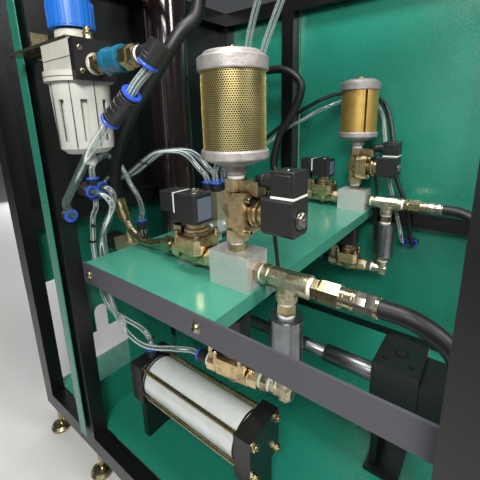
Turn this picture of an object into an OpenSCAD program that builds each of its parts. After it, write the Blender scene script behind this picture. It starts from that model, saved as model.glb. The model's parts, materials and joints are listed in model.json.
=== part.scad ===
// Valve bay of a blow moulding machine: a tube frame with sheet panels, a folded shelf,
// two exhaust stacks with silencers, pilot operated valves, check valves, hoses and an air filter.
// Millimetres. X runs along the front rail, Y into the bay, Z up.
// The origin is the underside of the front left levelling foot.

/* [Frame] */
// Side of the square frame tube
tube = 40; // [35:1:45]
// Wall of the frame tube
tube_wall = 2.5; // [2:0.5:4]
// Depth of the front posts
front_post_d = 30; // [28:1:34]
// Clear width of the bay between its front posts
bay_w = 600; // [590:5:640]
// Depth from the rail to the back panel
bay_d = 740; // [736:1:760]
// Width of the space left of the front left post
side_w = 157; // [140:1:180]
// Height of the shelf over the floor
shelf_z = 520; // [480:5:560]
// Height of the frame over the shelf
head_h = 610; // [590:5:640]
// Height of the base frame over the floor
base_z = 80; // [60:5:100]

/* [Panels and shelf] */
// Thickness of the sheet metal
sheet = 2; // [1.5:0.1:2.4]
// Width of the shelf along the rail
shelf_w = 332; // [328:1:340]
// Depth of the shelf's turned down edges
shelf_flange = 25; // [20:1:30]
// Height of the front rail
rail_h = 40; // [36:1:44]
// Thickness of the front rail
rail_t = 4; // [3:0.5:5]
// Height of the cut-out in the side partition
cutout_h = 125; // [110:1:135]
// Length of the cut-out in the side partition
cutout_l = 120; // [90:1:130]
// Diameter of the hole in the side partition in line with the piston rod
rod_way_d = 60; // [50:1:66]

/* [Exhaust stacks] */
// Distance from the rail to the front stack
front_y = 113; // [110:1:118]
// Distance from the rear stack to the back panel
rear_gap = 82; // [78:1:90]
// Length of the aluminium block
block_l = 76; // [72:1:80]
// Width of the aluminium block
block_w = 56; // [52:1:60]
// Radius of the pipe thread that joins the fittings
thread_r = 10; // [9:0.5:11]
// Diameter of the silencer caps
cap_d = 102; // [98:1:106]
// Diameter of the perforated silencer tube
mesh_d = 94; // [90:1:96]
// Length of the perforated tube that shows between the caps
mesh_h = 108; // [100:1:114]
// Wall of the perforated tube
mesh_t = 1.2; // [1:0.1:1.6]
// Diameter of the holes drilled in the perforated tube
mesh_hole = 9; // [6:0.5:10]
// Rows of holes in the perforated tube
mesh_rows = 7; // [5:1:8]
// Holes round the perforated tube
mesh_cols = 16; // [12:2:18]

/* [Valves] */
// Length of a valve body from port to port
valve_l = 100; // [96:1:104]
// Size of the octagonal port ends
port_af = 34; // [32:1:36]
// Side of the square cover flange
cover_s = 62; // [58:1:64]
// Length of the coil
coil_l = 50; // [46:1:54]
// Width of the coil
coil_w = 46; // [42:1:50]
// Side of the cable plug
plug_s = 34; // [30:1:36]

/* [Fittings and hoses] */
// Diameter of the check valves
check_d = 52; // [48:1:56]
// Length of the check valves
check_l = 96; // [90:1:110]
// Outer diameter of the high pressure hoses
hose_d = 24; // [22:0.5:25]
// Outer diameter of the clear air tubes
air_d = 12; // [10:0.5:12]
// Diameter of the valve cables
cable_d = 7; // [6:0.5:8]
// Diameter of the piston rod
rod_d = 20; // [18:0.5:22]

/* [Hidden] */
$fn = 48;

// Places shared by several pieces, measured from the shelf's front left corner
rail_lead = 25;
post_x = -rail_lead - tube;
side_x = post_x - side_w - tube;
right_x = bay_w - rail_lead;
frame_end = right_x + tube;
base_top = base_z + tube - shelf_z;
base_bottom = base_z - shelf_z;
head_bottom = head_h - tube;
mid_post_x = 0;
back_post_y = bay_d - tube;
hanger_y = 150;
bar_z = 30;
cap_t = 3;
shelf_x = -20;
shelf_end = shelf_x + shelf_w;
partition_end = 228;
panel_joint = 43;
bolt_x = [-2, shelf_end - 32];
bolt_z = -rail_h / 2;
bolt_r = 4;
fold_front = front_post_d + 8;
rear_y = bay_d - rear_gap;
panel_gap = 0.3;

block_h = 57;
stack_x = 269;
port_z = 28;
hex_l = 12;
tape_l = 5;
side_hex_l = 10;
thread_l = 12;
port_r = thread_r + 0.5;
hex_af = 27;
tee_l = 76;
tee_drop = 31;
valve_z = block_h + hex_l + tape_l + valve_l / 2;
neck_z = valve_z + valve_l / 2;
tee_x = stack_x + block_l / 2 + side_hex_l + tape_l + tee_l / 2;
check_z = port_z - tee_drop - tape_l - 16 - tape_l;
check_end = check_z - check_l;
elbow_arm = 24;
elbow_z = check_end - hex_l - tape_l - elbow_arm;
lower_valve_x = tee_x - elbow_arm - tape_l - hex_l - tape_l - valve_l / 2;
inlet_x = stack_x - block_l / 2 - tape_l - valve_l / 2;
swivel_x = tee_x + tee_l / 2 + tape_l + hex_l;

coil_x = 61;
coil_low = 23;
coil_high = 30;
stem_r = 7;
gasket_t = 4;
port_l = 19;

mesh_seat = 4;
rim_h = 14;
base_rim_z = neck_z + 30;
mesh_z = base_rim_z + rim_h - mesh_seat;
cap_z = base_rim_z + rim_h + mesh_h;
cap_h = 19;
tie_r = 5;
seam_w = 5;

air_x = 130;
air_y = -40;
air_z = 331;

module bay() {
    translate([rail_lead + tube / 2, front_post_d / 2, shelf_z]) children();
}

// A box given by its low corner and its size
module slab(low, size) {
    translate(low) cube(size);
}

// Hollow box tube along X, Y or Z, open at both ends
module box_tube(low, size, axis) {
    w = tube_wall;
    grow = [for (i = [0:2]) i == axis ? 1 : -w];
    difference() {
        slab(low, size);
        slab([for (i = [0:2]) low[i] - grow[i]], [for (i = [0:2]) size[i] + 2 * grow[i]]);
    }
}

// Cylinder along X from a centre point on its near face
module rod_x(at, r, h) {
    translate(at) rotate([0, 90, 0]) cylinder(r = r, h = h);
}

module hex_x(at, af, h) {
    translate(at) rotate([0, 90, 0]) cylinder(d = af / cos(30), h = h, $fn = 6);
}

module hex_z(at, af, h) {
    translate(at) cylinder(d = af / cos(30), h = h, $fn = 6);
}

module ring_x(at, outer, inner, h) {
    translate(at) rotate([0, 90, 0]) difference() {
        cylinder(r = outer, h = h);
        translate([0, 0, -1]) cylinder(r = inner, h = h + 2);
    }
}

module ring_z(at, outer, inner, h) {
    translate(at) difference() {
        cylinder(r = outer, h = h);
        translate([0, 0, -1]) cylinder(r = inner, h = h + 2);
    }
}

// Swept round tube: rings of points square to the route, joined into one closed skin
function unit(v) = v / norm(v);
function heading(p, i) = unit(p[min(i + 1, len(p) - 1)] - p[max(i - 1, 0)]);
function side(t) = unit(cross(t, abs(t[2]) > 0.9 ? [1, 0, 0] : [0, 0, 1]));
function turned(s, t) = unit(s - (s * t) * t);
function sides(p, i) = i == 0 ? side(heading(p, 0)) : turned(sides(p, i - 1), heading(p, i));
// Smooth curve through the hand picked points, n steps between each pair
function curve_at(a, b, c, d, u) =
    0.5 * (2 * b + (c - a) * u + (2 * a - 5 * b + 4 * c - d) * u * u + (3 * b - a - 3 * c + d) * u * u * u);
function smooth(p, n) = concat([for (i = [0:len(p) - 2], k = [0:n - 1])
    curve_at(p[max(i - 1, 0)], p[i], p[i + 1], p[min(i + 2, len(p) - 1)], k / n)], [p[len(p) - 1]]);

module sweep(route, r, n = 8) {
    m = len(route);
    points = [for (i = [0:m - 1]) let (t = heading(route, i), s = sides(route, i), u = cross(t, s))
        for (k = [0:n - 1]) route[i] + r * (cos(360 * k / n) * s + sin(360 * k / n) * u)];
    walls = [for (i = [0:m - 2], k = [0:n - 1])
        [i * n + k, (i + 1) * n + k, (i + 1) * n + (k + 1) % n, i * n + (k + 1) % n]];
    ends = [[for (k = [0:n - 1]) k], [for (k = [n - 1:-1:0]) (m - 1) * n + k]];
    polyhedron(points, concat(walls, ends));
}

// Frame
module post(x, y, d) {
    box_tube([x, y, base_top], [tube, d, head_bottom - base_top], 2);
}

module frame_posts() {
    color([0.07, 0.07, 0.08]) bay() {
        for (x = [side_x, post_x, right_x]) post(x, -front_post_d, front_post_d);
        for (x = [side_x, mid_post_x, right_x]) post(x, back_post_y, tube);
    }
}

module long_rail(y, z, d) {
    box_tube([side_x + cap_t, y, z], [frame_end - side_x - 2 * cap_t, d, tube], 0);
    for (x = [side_x, frame_end - cap_t]) slab([x, y, z], [cap_t, d, tube]);
}

module frame_long_rails() {
    color([0.07, 0.07, 0.08]) bay() {
        for (z = [base_bottom, head_bottom]) {
            long_rail(-front_post_d, z, front_post_d);
            long_rail(back_post_y, z, tube);
        }
        left = [side_x + tube, mid_post_x];
        right = [mid_post_x + tube, right_x];
        for (span = [left, right])
            box_tube([span[0], back_post_y, -sheet - tube], [span[1] - span[0], tube, tube], 0);
        box_tube([side_x + tube, hanger_y, head_bottom], [right_x - side_x - tube, tube, tube], 0);
    }
}

module frame_cross_rails() {
    color([0.09, 0.09, 0.1]) bay() {
        for (x = [side_x, right_x], z = [base_bottom, head_bottom])
            box_tube([x, 0, z], [tube, back_post_y, tube], 1);
        box_tube([side_x, 0, bar_z], [tube, back_post_y, tube], 1);
        box_tube([post_x, 0, base_bottom], [tube, back_post_y, tube], 1);
    }
}

module foot(x, y) {
    translate([x, y, -shelf_z]) rotate_extrude() polygon([
        [0, 0], [25, 0], [25, 6], [20, 12], [9, 15], [6, 15], [6, base_z - 10],
        [11, base_z - 10], [11, base_z], [0, base_z]]);
}

module levelling_feet() {
    front = -front_post_d / 2;
    back = back_post_y + tube / 2;
    color([0.3, 0.3, 0.32]) bay() {
        for (x = [side_x, post_x, right_x]) foot(x + tube / 2, front);
        for (x = [side_x, right_x]) foot(x + tube / 2, back);
    }
}

module back_panel() {
    h = head_h - base_bottom;
    color([0.27, 0.63, 0.55]) bay() {
        slab([side_x, bay_d, base_bottom], [panel_joint - side_x, sheet, h]);
        slab([panel_joint + 3, bay_d, base_bottom], [frame_end - panel_joint - 3, sheet, h]);
        slab([panel_joint - sheet, bay_d + sheet, base_bottom], [sheet, 12, h]);
        slab([panel_joint + 3, bay_d + sheet, base_bottom], [sheet, 12, h]);
    }
}

module side_panel() {
    low = -120;
    color([0.05, 0.14, 0.13]) bay() {
        slab([side_x - sheet, -front_post_d, low], [sheet, bay_d + front_post_d, bar_z + 20 - low]);
        slab([side_x - sheet, -front_post_d, bar_z + 21], [sheet, bay_d + front_post_d, head_h - bar_z - 21]);
    }
}

// Folded sheet on the left post's outer face, with a square cut-out that has a rounded tab
module side_partition() {
    top = -rail_h - 5;
    x = post_x - sheet;
    low = -184 - cutout_h;
    foot_z = base_top + sheet;
    tab = 29;
    tab_y = 28;
    tab_top = -126;
    cut_y = 100 - cutout_l;
    color([0.2, 0.5, 0.44]) bay() {
        difference() {
            slab([x, -front_post_d, foot_z], [sheet, partition_end + front_post_d, top - foot_z]);
            slab([x - 1, cut_y, low], [sheet + 2, cutout_l, cutout_h]);
            slab([x - 1, tab_y, low], [sheet + 2, tab, tab_top - low - tab / 2]);
            translate([x - 1, tab_y + tab / 2, tab_top - tab / 2]) rotate([0, 90, 0])
                cylinder(d = tab, h = sheet + 2);
        }
        difference() {
            slab([x, partition_end + 18, foot_z], [sheet, back_post_y - partition_end - 18, top - foot_z]);
            rod_x([x - 1, rod_y, rod_z], rod_way_d / 2, sheet + 2);
        }
        difference() {
            slab([x, -fold_front, base_top], [26, fold_front - front_post_d, head_bottom - base_top]);
            slab([x + sheet, -fold_front + sheet, base_top - 1],
                [26, fold_front - front_post_d, head_bottom - base_top + 2]);
        }
    }
}

module floor_pan() {
    color([0.05, 0.07, 0.07]) bay()
        slab([side_x + 2, 1, base_top], [frame_end - side_x - 4, back_post_y - 2, sheet]);
}

module shelf() {
    back = back_post_y - 1;
    color([0.36, 0.72, 0.62]) bay() difference() {
        union() {
            slab([shelf_x, rail_t, -sheet], [shelf_w, back - rail_t, sheet]);
            slab([mid_post_x + tube + 2, back - 1, -sheet], [shelf_end - mid_post_x - tube - 2, tube, sheet]);
            slab([shelf_x, rail_t, -shelf_flange], [sheet, back - rail_t, shelf_flange]);
            slab([shelf_end - sheet, rail_t, -shelf_flange], [sheet, back - rail_t, shelf_flange]);
            slab([shelf_x, rail_t, 6 - rail_h], [shelf_w, sheet, rail_h - 6]);
        }
        for (x = bolt_x) translate([x, rail_t - 1, bolt_z]) rotate([-90, 0, 0])
            cylinder(r = bolt_r + 0.3, h = sheet + 2);
    }
}

module front_rail() {
    color([0.33, 0.34, 0.36]) bay() difference() {
        union() {
            slab([post_x + 5, 0, -rail_h], [frame_end - post_x - 10, rail_t, rail_h]);
            slab([post_x + 5, 0, -rail_h], [frame_end - post_x - 10, 25, rail_t]);
        }
        for (x = bolt_x) translate([x, -1, bolt_z]) rotate([-90, 0, 0])
            cylinder(r = bolt_r + 0.3, h = rail_t + 2);
    }
}

// Button head screw through the rail and the shelf's front edge, with its washer and nut
module rail_bolt(x) {
    translate([x, 0, bolt_z]) rotate([90, 0, 0]) {
        rotate_extrude() polygon([[0, 5.6], [3, 5.6], [6, 4.4], [7.6, 2.4], [7.8, 1.2], [9, 1.2], [9, 0], [0, 0]]);
        translate([0, 0, -rail_t - sheet - 8]) cylinder(r = bolt_r, h = rail_t + sheet + 9);
        translate([0, 0, -rail_t - sheet - 6]) cylinder(d = 13 / cos(30), h = 6, $fn = 6);
    }
}

module frame_bolts() {
    color([0.78, 0.72, 0.5]) bay() {
        for (x = bolt_x) rail_bolt(x);
    }
}

column_r = 55;

module tie_column() {
    x = side_x + tube + column_r + 1;
    color([0.12, 0.09, 0.09]) bay() translate([x, 375, base_top + sheet]) {
        cylinder(r = column_r, h = head_h - base_top - sheet);
        cylinder(r = column_r + 12, h = 30);
    }
}

// Aluminium block, drilled along X for the air and from the top for the stack
module block(y) {
    difference() {
        slab([stack_x - block_l / 2, y - block_w / 2, 0], [block_l, block_w, block_h]);
        rod_x([stack_x - block_l / 2 - 1, y, port_z], port_r, block_l + 2);
        translate([stack_x, y, port_z]) cylinder(r = port_r, h = block_h);
    }
}

module front_block() {
    color([0.7, 0.71, 0.72]) bay() block(front_y);
}

module rear_block() {
    color([0.7, 0.71, 0.72]) bay() block(rear_y);
}

// Square plate with cut corners, thickness along X
module plate(x, half, cut, h) {
    translate([x, 0, 0]) rotate([0, 90, 0]) linear_extrude(h) polygon([
        [-half, cut - half], [cut - half, -half], [half - cut, -half], [half, cut - half],
        [half, half - cut], [half - cut, half], [cut - half, half], [-half, half - cut]]);
}

// Pilot valve body, flow along Z, coil side on +X. The stem that carries the coil is part of it
module valve_body() {
    half = valve_l / 2;
    edge = cover_s / 2;
    stem = coil_x + coil_l + 6;
    difference() {
        union() {
            for (z = [-half, half - port_l]) translate([0, 0, z]) rotate([0, 0, 22.5])
                cylinder(d = port_af / cos(22.5), h = port_l, $fn = 8);
            slab([-13, -13, port_l - half - 1], [26, 26, valve_l - 2 * port_l + 2]);
            rotate([0, 90, 0]) rotate_extrude() polygon([[0, -21], [9, -21], [25, 3], [edge - 4, 8], [0, 8]]);
            plate(8, edge - 1.5, 9, 12.5);
            plate(20.4, edge, 8, 15.6);
            slab([9, -11, edge - 4], [39, 22, half - edge + 2]);
            for (y = [-1, 1], z = [-1, 1])
                translate([36, y * (edge - 6.5), z * (edge - 6.5)]) rotate([0, 90, 0]) cylinder(r = 4.5, h = 6);
            rotate([0, 90, 0]) rotate_extrude() polygon([[0, 35], [23, 35], [23, 40], [20, 42], [20, 44],
                [21.5, 45], [21.5, 49], [18, 51], [18, coil_x - 0.2], [stem_r, coil_x - 0.2], [stem_r, stem],
                [0, stem]]);
            hex_x([coil_x + coil_l + 0.2, 0, 0], 17, 6);
        }
        for (z = [-half - 1, half - 20]) translate([0, 0, z]) cylinder(r = port_r, h = 21);
        cylinder(r = 7, h = valve_l, center = true);
    }
}

// Moulded coil with bevelled edges round the stem
module valve_coil() {
    h = coil_low + coil_high;
    difference() {
        translate([coil_x, 0, 0]) rotate([0, 90, 0]) linear_extrude(coil_l) polygon([
            [3 - coil_high, -coil_w / 2], [coil_low - 5, -coil_w / 2], [coil_low, 5 - coil_w / 2],
            [coil_low, coil_w / 2 - 5], [coil_low - 5, coil_w / 2], [3 - coil_high, coil_w / 2],
            [-coil_high, coil_w / 2 - 3], [-coil_high, 3 - coil_w / 2]]);
        rod_x([coil_x - 1, 0, 0], stem_r + 0.3, coil_l + 2);
    }
}

// Square cable plug on its white gasket, with a round cable gland
module valve_plug() {
    z = coil_high + gasket_t;
    x = coil_x + 14;
    slab([x + 2, 1 - plug_s / 2, coil_high], [plug_s - 3, plug_s - 3, gasket_t]);
    difference() {
        slab([x, -plug_s / 2 + 1, z], [plug_s + 1, plug_s - 2, plug_s]);
        translate([x + plug_s / 2, 0, z + plug_s - 4]) cylinder(r = 4, h = 5);
        rod_x([x - 1, 0, z + plug_s / 2], cable_d / 2 + 0.3, 10);
    }
    ring_x([x - 12, 0, z + plug_s / 2], 13, cable_d / 2 + 0.3, 12);
    ring_x([x - 24, 0, z + plug_s / 2], 10, cable_d / 2 + 0.3, 12);
}

module upright(y) {
    translate([stack_x, y, valve_z]) children();
}

module lying(y) {
    translate([inlet_x, y, port_z]) rotate([0, -90, 0]) children();
}

// The chain below a check valve, turned a little about the check valve's axis
module lower_chain(y, turn) {
    translate([tee_x, y, elbow_z]) rotate([0, 0, turn]) children();
}

front_turn = 7;
rear_turn = 4;

module lower_valve(y, turn) {
    lower_chain(y, turn) translate([lower_valve_x - tee_x, 0, 0]) rotate([0, -90, 0]) children();
}

module exhaust_valve_body() {
    color([0.6, 0.5, 0.33]) bay() upright(front_y) valve_body();
}

module exhaust_valve_coil() {
    color([0.2, 0.2, 0.21]) bay() upright(front_y) valve_coil();
}

module exhaust_valve_plug() {
    color([0.17, 0.17, 0.18]) bay() upright(front_y) valve_plug();
}

module inlet_valve_body() {
    color([0.6, 0.5, 0.33]) bay() lying(front_y) valve_body();
}

module inlet_valve_coil() {
    color([0.2, 0.2, 0.21]) bay() lying(front_y) valve_coil();
}

module inlet_valve_plug() {
    color([0.17, 0.17, 0.18]) bay() lying(front_y) valve_plug();
}

module rear_exhaust_body() {
    color([0.6, 0.5, 0.33]) bay() upright(rear_y) valve_body();
}

module rear_exhaust_coil() {
    color([0.2, 0.2, 0.21]) bay() upright(rear_y) valve_coil();
}

module rear_exhaust_plug() {
    color([0.17, 0.17, 0.18]) bay() upright(rear_y) valve_plug();
}

module rear_inlet_body() {
    color([0.6, 0.5, 0.33]) bay() lying(rear_y) valve_body();
}

module rear_inlet_coil() {
    color([0.2, 0.2, 0.21]) bay() lying(rear_y) {
        valve_coil();
        valve_plug();
    }
}

module recovery_valve_body() {
    color([0.6, 0.5, 0.33]) bay() lower_valve(rear_y, rear_turn) valve_body();
}

module recovery_valve_coil() {
    color([0.2, 0.2, 0.21]) bay() lower_valve(rear_y, rear_turn) {
        valve_coil();
        valve_plug();
    }
}

module drain_valve_body() {
    color([0.6, 0.5, 0.33]) bay() lower_valve(front_y, front_turn) valve_body();
}

module drain_valve_coil() {
    color([0.2, 0.2, 0.21]) bay() lower_valve(front_y, front_turn) {
        valve_coil();
        valve_plug();
    }
}

// Silencer: cast bowl with a threaded neck, perforated tube, cast cap held down by one nut
module silencer_bowl(y) {
    r = cap_d / 2;
    seat = mesh_d / 2 + 0.2;
    translate([stack_x, y, 0]) rotate_extrude() polygon([
        [0, neck_z - thread_l], [thread_r, neck_z - thread_l], [thread_r, neck_z + tape_l],
        [15, neck_z + tape_l], [17, neck_z + 9], [17, neck_z + 18], [30, neck_z + 22],
        [r - 6, base_rim_z - 3], [r - 1, base_rim_z], [r, base_rim_z + 2], [r, base_rim_z + 11],
        [r - 1.5, base_rim_z + rim_h], [seat + 0.2, base_rim_z + rim_h], [seat, mesh_z],
        [seat - 5, mesh_z], [seat - 8, base_rim_z + 5], [tie_r + 6, base_rim_z + 1],
        [tie_r + 6, mesh_z + 4], [tie_r + 0.2, mesh_z + 4], [tie_r + 0.2, neck_z + 24], [0, neck_z + 24]]);
}

module silencer_top(y) {
    r = cap_d / 2;
    seat = mesh_d / 2 + 0.2;
    top = cap_z + cap_h;
    translate([stack_x, y, 0]) rotate_extrude() polygon([
        [seat, cap_z], [r - 1, cap_z], [r, cap_z + 1.5], [r, top - 2], [r - 2, top],
        [r - 6, top + 0.5], [r - 8, top + 4.5], [r - 11, top + 7], [r - 20, top + 8.5], [tie_r + 0.2, top + 9],
        [tie_r + 0.2, cap_z + mesh_seat + 1], [seat, cap_z + mesh_seat + 1]]);
}

// The tie rod through the silencer and its top nut belong to the tube's node
module tie_rod(y) {
    top = cap_z + cap_h + 9;
    translate([stack_x, y, 0]) rotate_extrude() polygon([
        [0, neck_z + 25], [tie_r, neck_z + 25], [tie_r, top], [8, top], [8, top + 4],
        [6, top + 6], [0, top + 6]]);
}

// The rear tube is rolled from plain sheet and has an open seam
module seamed(y) {
    low = mesh_z + 0.2;
    height = cap_z + mesh_seat + 0.6 - low;
    translate([stack_x, y, 0]) difference() {
        ring_z([0, 0, low], mesh_d / 2, mesh_d / 2 - mesh_t, height);
        rotate([0, 0, -52]) slab([mesh_d / 2 - 5, -seam_w / 2, low + 5], [7, seam_w, height - 10]);
    }
}

// Staggered rows of holes drilled in the wall of the tube
module perforated(y) {
    low = mesh_z + 0.2;
    height = cap_z + mesh_seat + 0.6 - low;
    row = (height - 16) / mesh_rows;
    translate([stack_x, y, 0]) difference() {
        ring_z([0, 0, low], mesh_d / 2, mesh_d / 2 - mesh_t, height);
        for (i = [0:mesh_rows - 1], k = [0:mesh_cols - 1])
            rotate([0, 0, (k + (i % 2) / 2) * 360 / mesh_cols])
                rod_x([mesh_d / 2 - 5, 0, low + 8 + row * (i + 0.5)], mesh_hole / 2, 7);
    }
}

module silencer_base() {
    color([0.72, 0.69, 0.66]) bay() silencer_bowl(front_y);
}

module silencer_tube() {
    color([0.79, 0.66, 0.35]) bay() {
        perforated(front_y);
        tie_rod(front_y);
    }
}

module silencer_cap() {
    color([0.72, 0.69, 0.66]) bay() silencer_top(front_y);
}

module rear_silencer_base() {
    color([0.72, 0.69, 0.66]) bay() silencer_bowl(rear_y);
}

module rear_silencer_tube() {
    color([0.79, 0.66, 0.35]) bay() {
        seamed(rear_y);
        tie_rod(rear_y);
    }
}

module rear_silencer_cap() {
    color([0.72, 0.69, 0.66]) bay() silencer_top(rear_y);
}

// Nipple along local Z: a threaded pipe with a hexagon from low to high
module nipple(from, low, high, to) {
    translate([0, 0, from]) cylinder(r = thread_r, h = to - from);
    if (high > low) hex_z([0, 0, low], hex_af, high - low);
}

module down_x() {
    rotate([0, -90, 0]) children();
}

// Distances along the chain that leaves an elbow
chain_tape = elbow_arm + tape_l;
chain_hex = chain_tape + hex_l;
chain_valve = chain_hex + tape_l;
chain_end = chain_valve + valve_l;

module hex_nipples() {
    color([0.66, 0.6, 0.42]) bay() {
        for (y = [front_y, rear_y]) {
            translate([stack_x, y, 0]) nipple(block_h - thread_l, block_h, block_h + hex_l, valve_z - valve_l / 2 + thread_l);
            translate([stack_x + block_l / 2, y, port_z]) rotate([0, 90, 0])
                nipple(-thread_l, 0, side_hex_l, side_hex_l + tape_l + 9);
            translate([tee_x + tee_l / 2, y, port_z]) rotate([0, 90, 0])
                nipple(-9, tape_l, tape_l + hex_l - 3, tape_l + hex_l + 10);
            translate([tee_x, y, check_z]) nipple(-thread_l, tape_l, tape_l + 16, 2 * tape_l + 16 + 7);
            translate([tee_x, y, check_end]) nipple(-hex_l - tape_l - 7, -hex_l, 0, thread_l);
            translate([inlet_x + valve_l / 2, y, port_z]) rotate([0, 90, 0]) nipple(-thread_l, 0, 0, tape_l + thread_l);
        }
        for (c = [[front_y, front_turn], [rear_y, rear_turn]])
            lower_chain(c[0], c[1]) down_x()
                nipple(elbow_arm - 7, chain_tape, chain_hex, chain_valve + thread_l);
    }
}

module tape(z) {
    ring_z([0, 0, z], thread_r + 3.5, thread_r + 0.1, tape_l);
}

module tape_rings() {
    color([0.92, 0.92, 0.9]) bay() {
        for (y = [front_y, rear_y]) {
            translate([stack_x, y, 0]) {
                tape(block_h + hex_l);
                tape(neck_z);
            }
            translate([tee_x, y, 0]) {
                tape(check_z);
                tape(check_z + tape_l + 16);
                tape(check_end - hex_l - tape_l);
            }
            translate([0, y, port_z]) rotate([0, 90, 0]) {
                tape(inlet_x + valve_l / 2);
                tape(stack_x + block_l / 2 + side_hex_l);
                tape(tee_x + tee_l / 2);
            }
        }
        for (c = [[front_y, front_turn], [rear_y, rear_turn]])
            lower_chain(c[0], c[1]) down_x() {
                tape(elbow_arm);
                tape(chain_hex);
                tape(chain_end);
            }
        translate([0, air_y, air_z]) rotate([0, 90, 0]) {
            ring_z([0, 0, air_x + 45], 9.5, 6.2, 4);
            ring_z([0, 0, 264], 9.5, 6.2, 4);
        }
    }
}

module octagon(af, h) {
    rotate([0, 0, 22.5]) cylinder(d = af / cos(22.5), h = h, $fn = 8);
}

module tee(y) {
    half = tee_l / 2;
    translate([tee_x, y, port_z]) difference() {
        union() {
            translate([-half + 11, 0, 0]) rotate([0, 90, 0]) octagon(30, tee_l - 22);
            translate([0, 0, -tee_drop + 10]) octagon(30, tee_drop - 10);
            ring_x([-half, 0, 0], 17, port_r, 11);
            ring_x([half - 11, 0, 0], 17, port_r, 11);
            ring_z([0, 0, -tee_drop], 17, port_r, 10);
        }
        rod_x([-half - 1, 0, 0], port_r, tee_l + 2);
        translate([0, 0, -tee_drop - 1]) cylinder(r = port_r, h = tee_drop);
    }
}

module front_tee() {
    color([0.62, 0.6, 0.47]) bay() tee(front_y);
}

module rear_tee() {
    color([0.62, 0.6, 0.47]) bay() tee(rear_y);
}

// Turned check valve with two spanner flats and a groove
module check_valve(y) {
    r = check_d / 2;
    translate([tee_x, y, check_end]) difference() {
        cylinder(r = r, h = check_l);
        translate([0, 0, -1]) cylinder(r = port_r, h = thread_l + 4);
        translate([0, 0, check_l - thread_l - 3]) cylinder(r = port_r, h = thread_l + 4);
        translate([0, 0, 1]) cylinder(r = 7, h = check_l - 2);
        for (a = [20, 200]) rotate([0, 0, a]) slab([r - 3, -r, check_l - 26], [r, 2 * r, 13]);
        ring_z([0, 0, 20], r + 1, r - 0.8, 1.6);
        ring_z([0, 0, check_l - 2], r + 1, r - 2, 3);
    }
}

module front_check_valve() {
    color([0.38, 0.4, 0.42]) bay() check_valve(front_y);
}

module rear_check_valve() {
    color([0.38, 0.4, 0.42]) bay() check_valve(rear_y);
}

module elbow() {
    difference() {
        union() {
            translate([0, 0, -13]) octagon(26, elbow_arm + 5);
            translate([13, 0, 0]) rotate([0, -90, 0]) octagon(26, elbow_arm + 5);
            translate([0, 0, elbow_arm - 9]) cylinder(r = 15, h = 9);
            rod_x([-elbow_arm, 0, 0], 15, 9);
        }
        translate([0, 0, -5]) cylinder(r = port_r, h = elbow_arm + 6);
        rod_x([-elbow_arm - 1, 0, 0], port_r, elbow_arm + 6);
    }
}

module elbows() {
    color([0.62, 0.58, 0.42]) bay() {
        lower_chain(front_y, front_turn) elbow();
        lower_chain(rear_y, rear_turn) elbow();
    }
}

// Swivel nut, collar and crimped ferrule on the end of a hose, along local Z
nut_l = 27;
collar_l = 15;
ferrule_l = 35;
end_l = nut_l + collar_l + ferrule_l;

module hose_end() {
    difference() {
        union() {
            hex_z([0, 0, 0], 30, nut_l);
            translate([0, 0, nut_l]) cylinder(r = 13.5, h = collar_l);
            translate([0, 0, nut_l + collar_l]) cylinder(r = hose_d / 2 + 2, h = ferrule_l);
        }
        translate([0, 0, -1]) cylinder(r = port_r, h = 16);
        translate([0, 0, nut_l + collar_l + 5]) cylinder(r = hose_d / 2 + 0.3, h = ferrule_l);
    }
}

hose_drop_x = right_x + tube / 2;
loop_r = 12;
loop_start = [-150, bay_d - panel_gap, 402];

module hose_ends() {
    color([0.62, 0.59, 0.45]) bay() for (y = [front_y, rear_y]) {
        translate([swivel_x, y, port_z]) rotate([0, 90, 0]) hose_end();
        translate([hose_drop_x, y, base_top + sheet]) hose_end();
        if (y == rear_y) translate([inlet_x - valve_l / 2, y, port_z]) rotate([0, -90, 0]) difference() {
            union() {
                hex_z([0, 0, 0], 28, 24);
                translate([0, 0, 24]) cylinder(r = loop_r + 2.5, h = 18);
                translate([0, 0, -thread_l]) cylinder(r = thread_r, h = thread_l + 2);
            }
            translate([0, 0, 30]) cylinder(r = loop_r + 0.3, h = 14);
        }
        translate(loop_start) rotate([90, 0, 0]) ring_z([0, 0, 0], loop_r + 7, loop_r + 0.3, 18);
    }
}

// Route of a high pressure hose from its swivel nut over to the right base rail
function hose_route(y) = smooth([
    [swivel_x + end_l - 10, y, port_z], [swivel_x + end_l + 8, y, port_z], [534, y, 25],
    [572, y, 2], [hose_drop_x - 2, y, -50], [hose_drop_x, y, -120], [hose_drop_x, y, -240],
    [hose_drop_x, y, base_top + end_l + 8], [hose_drop_x, y, base_top + end_l - 10]], 2);

module front_hose() {
    color([0.14, 0.14, 0.14]) bay() sweep(hose_route(front_y), hose_d / 2, 12);
}

module rear_hose() {
    color([0.14, 0.14, 0.14]) bay() {
        sweep(hose_route(rear_y), hose_d / 2, 12);
        y = rear_y + 6;
        sweep(smooth([for (d = [2, 18, 34]) loop_start - [0, d, 0], [-138, y + 20, 404], [-95, y, 406], [-40, y, 406],
            [32, y, 401], [84, y, 366], [86, y, 323], [59, y, 267], [17, y, 206], [-6, y, 124], [2, y, 84],
            [20, y - 2, 52], [44, rear_y, 32], [66, rear_y, port_z], [80, rear_y, port_z], [92, rear_y, port_z]], 2), loop_r);
    }
}

// Feed line to the inlet valve: bent zinc pipe with a nut at the valve and a hose on its other end
pipe_r = 9;
inlet_end = inlet_x - valve_l / 2;

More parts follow.
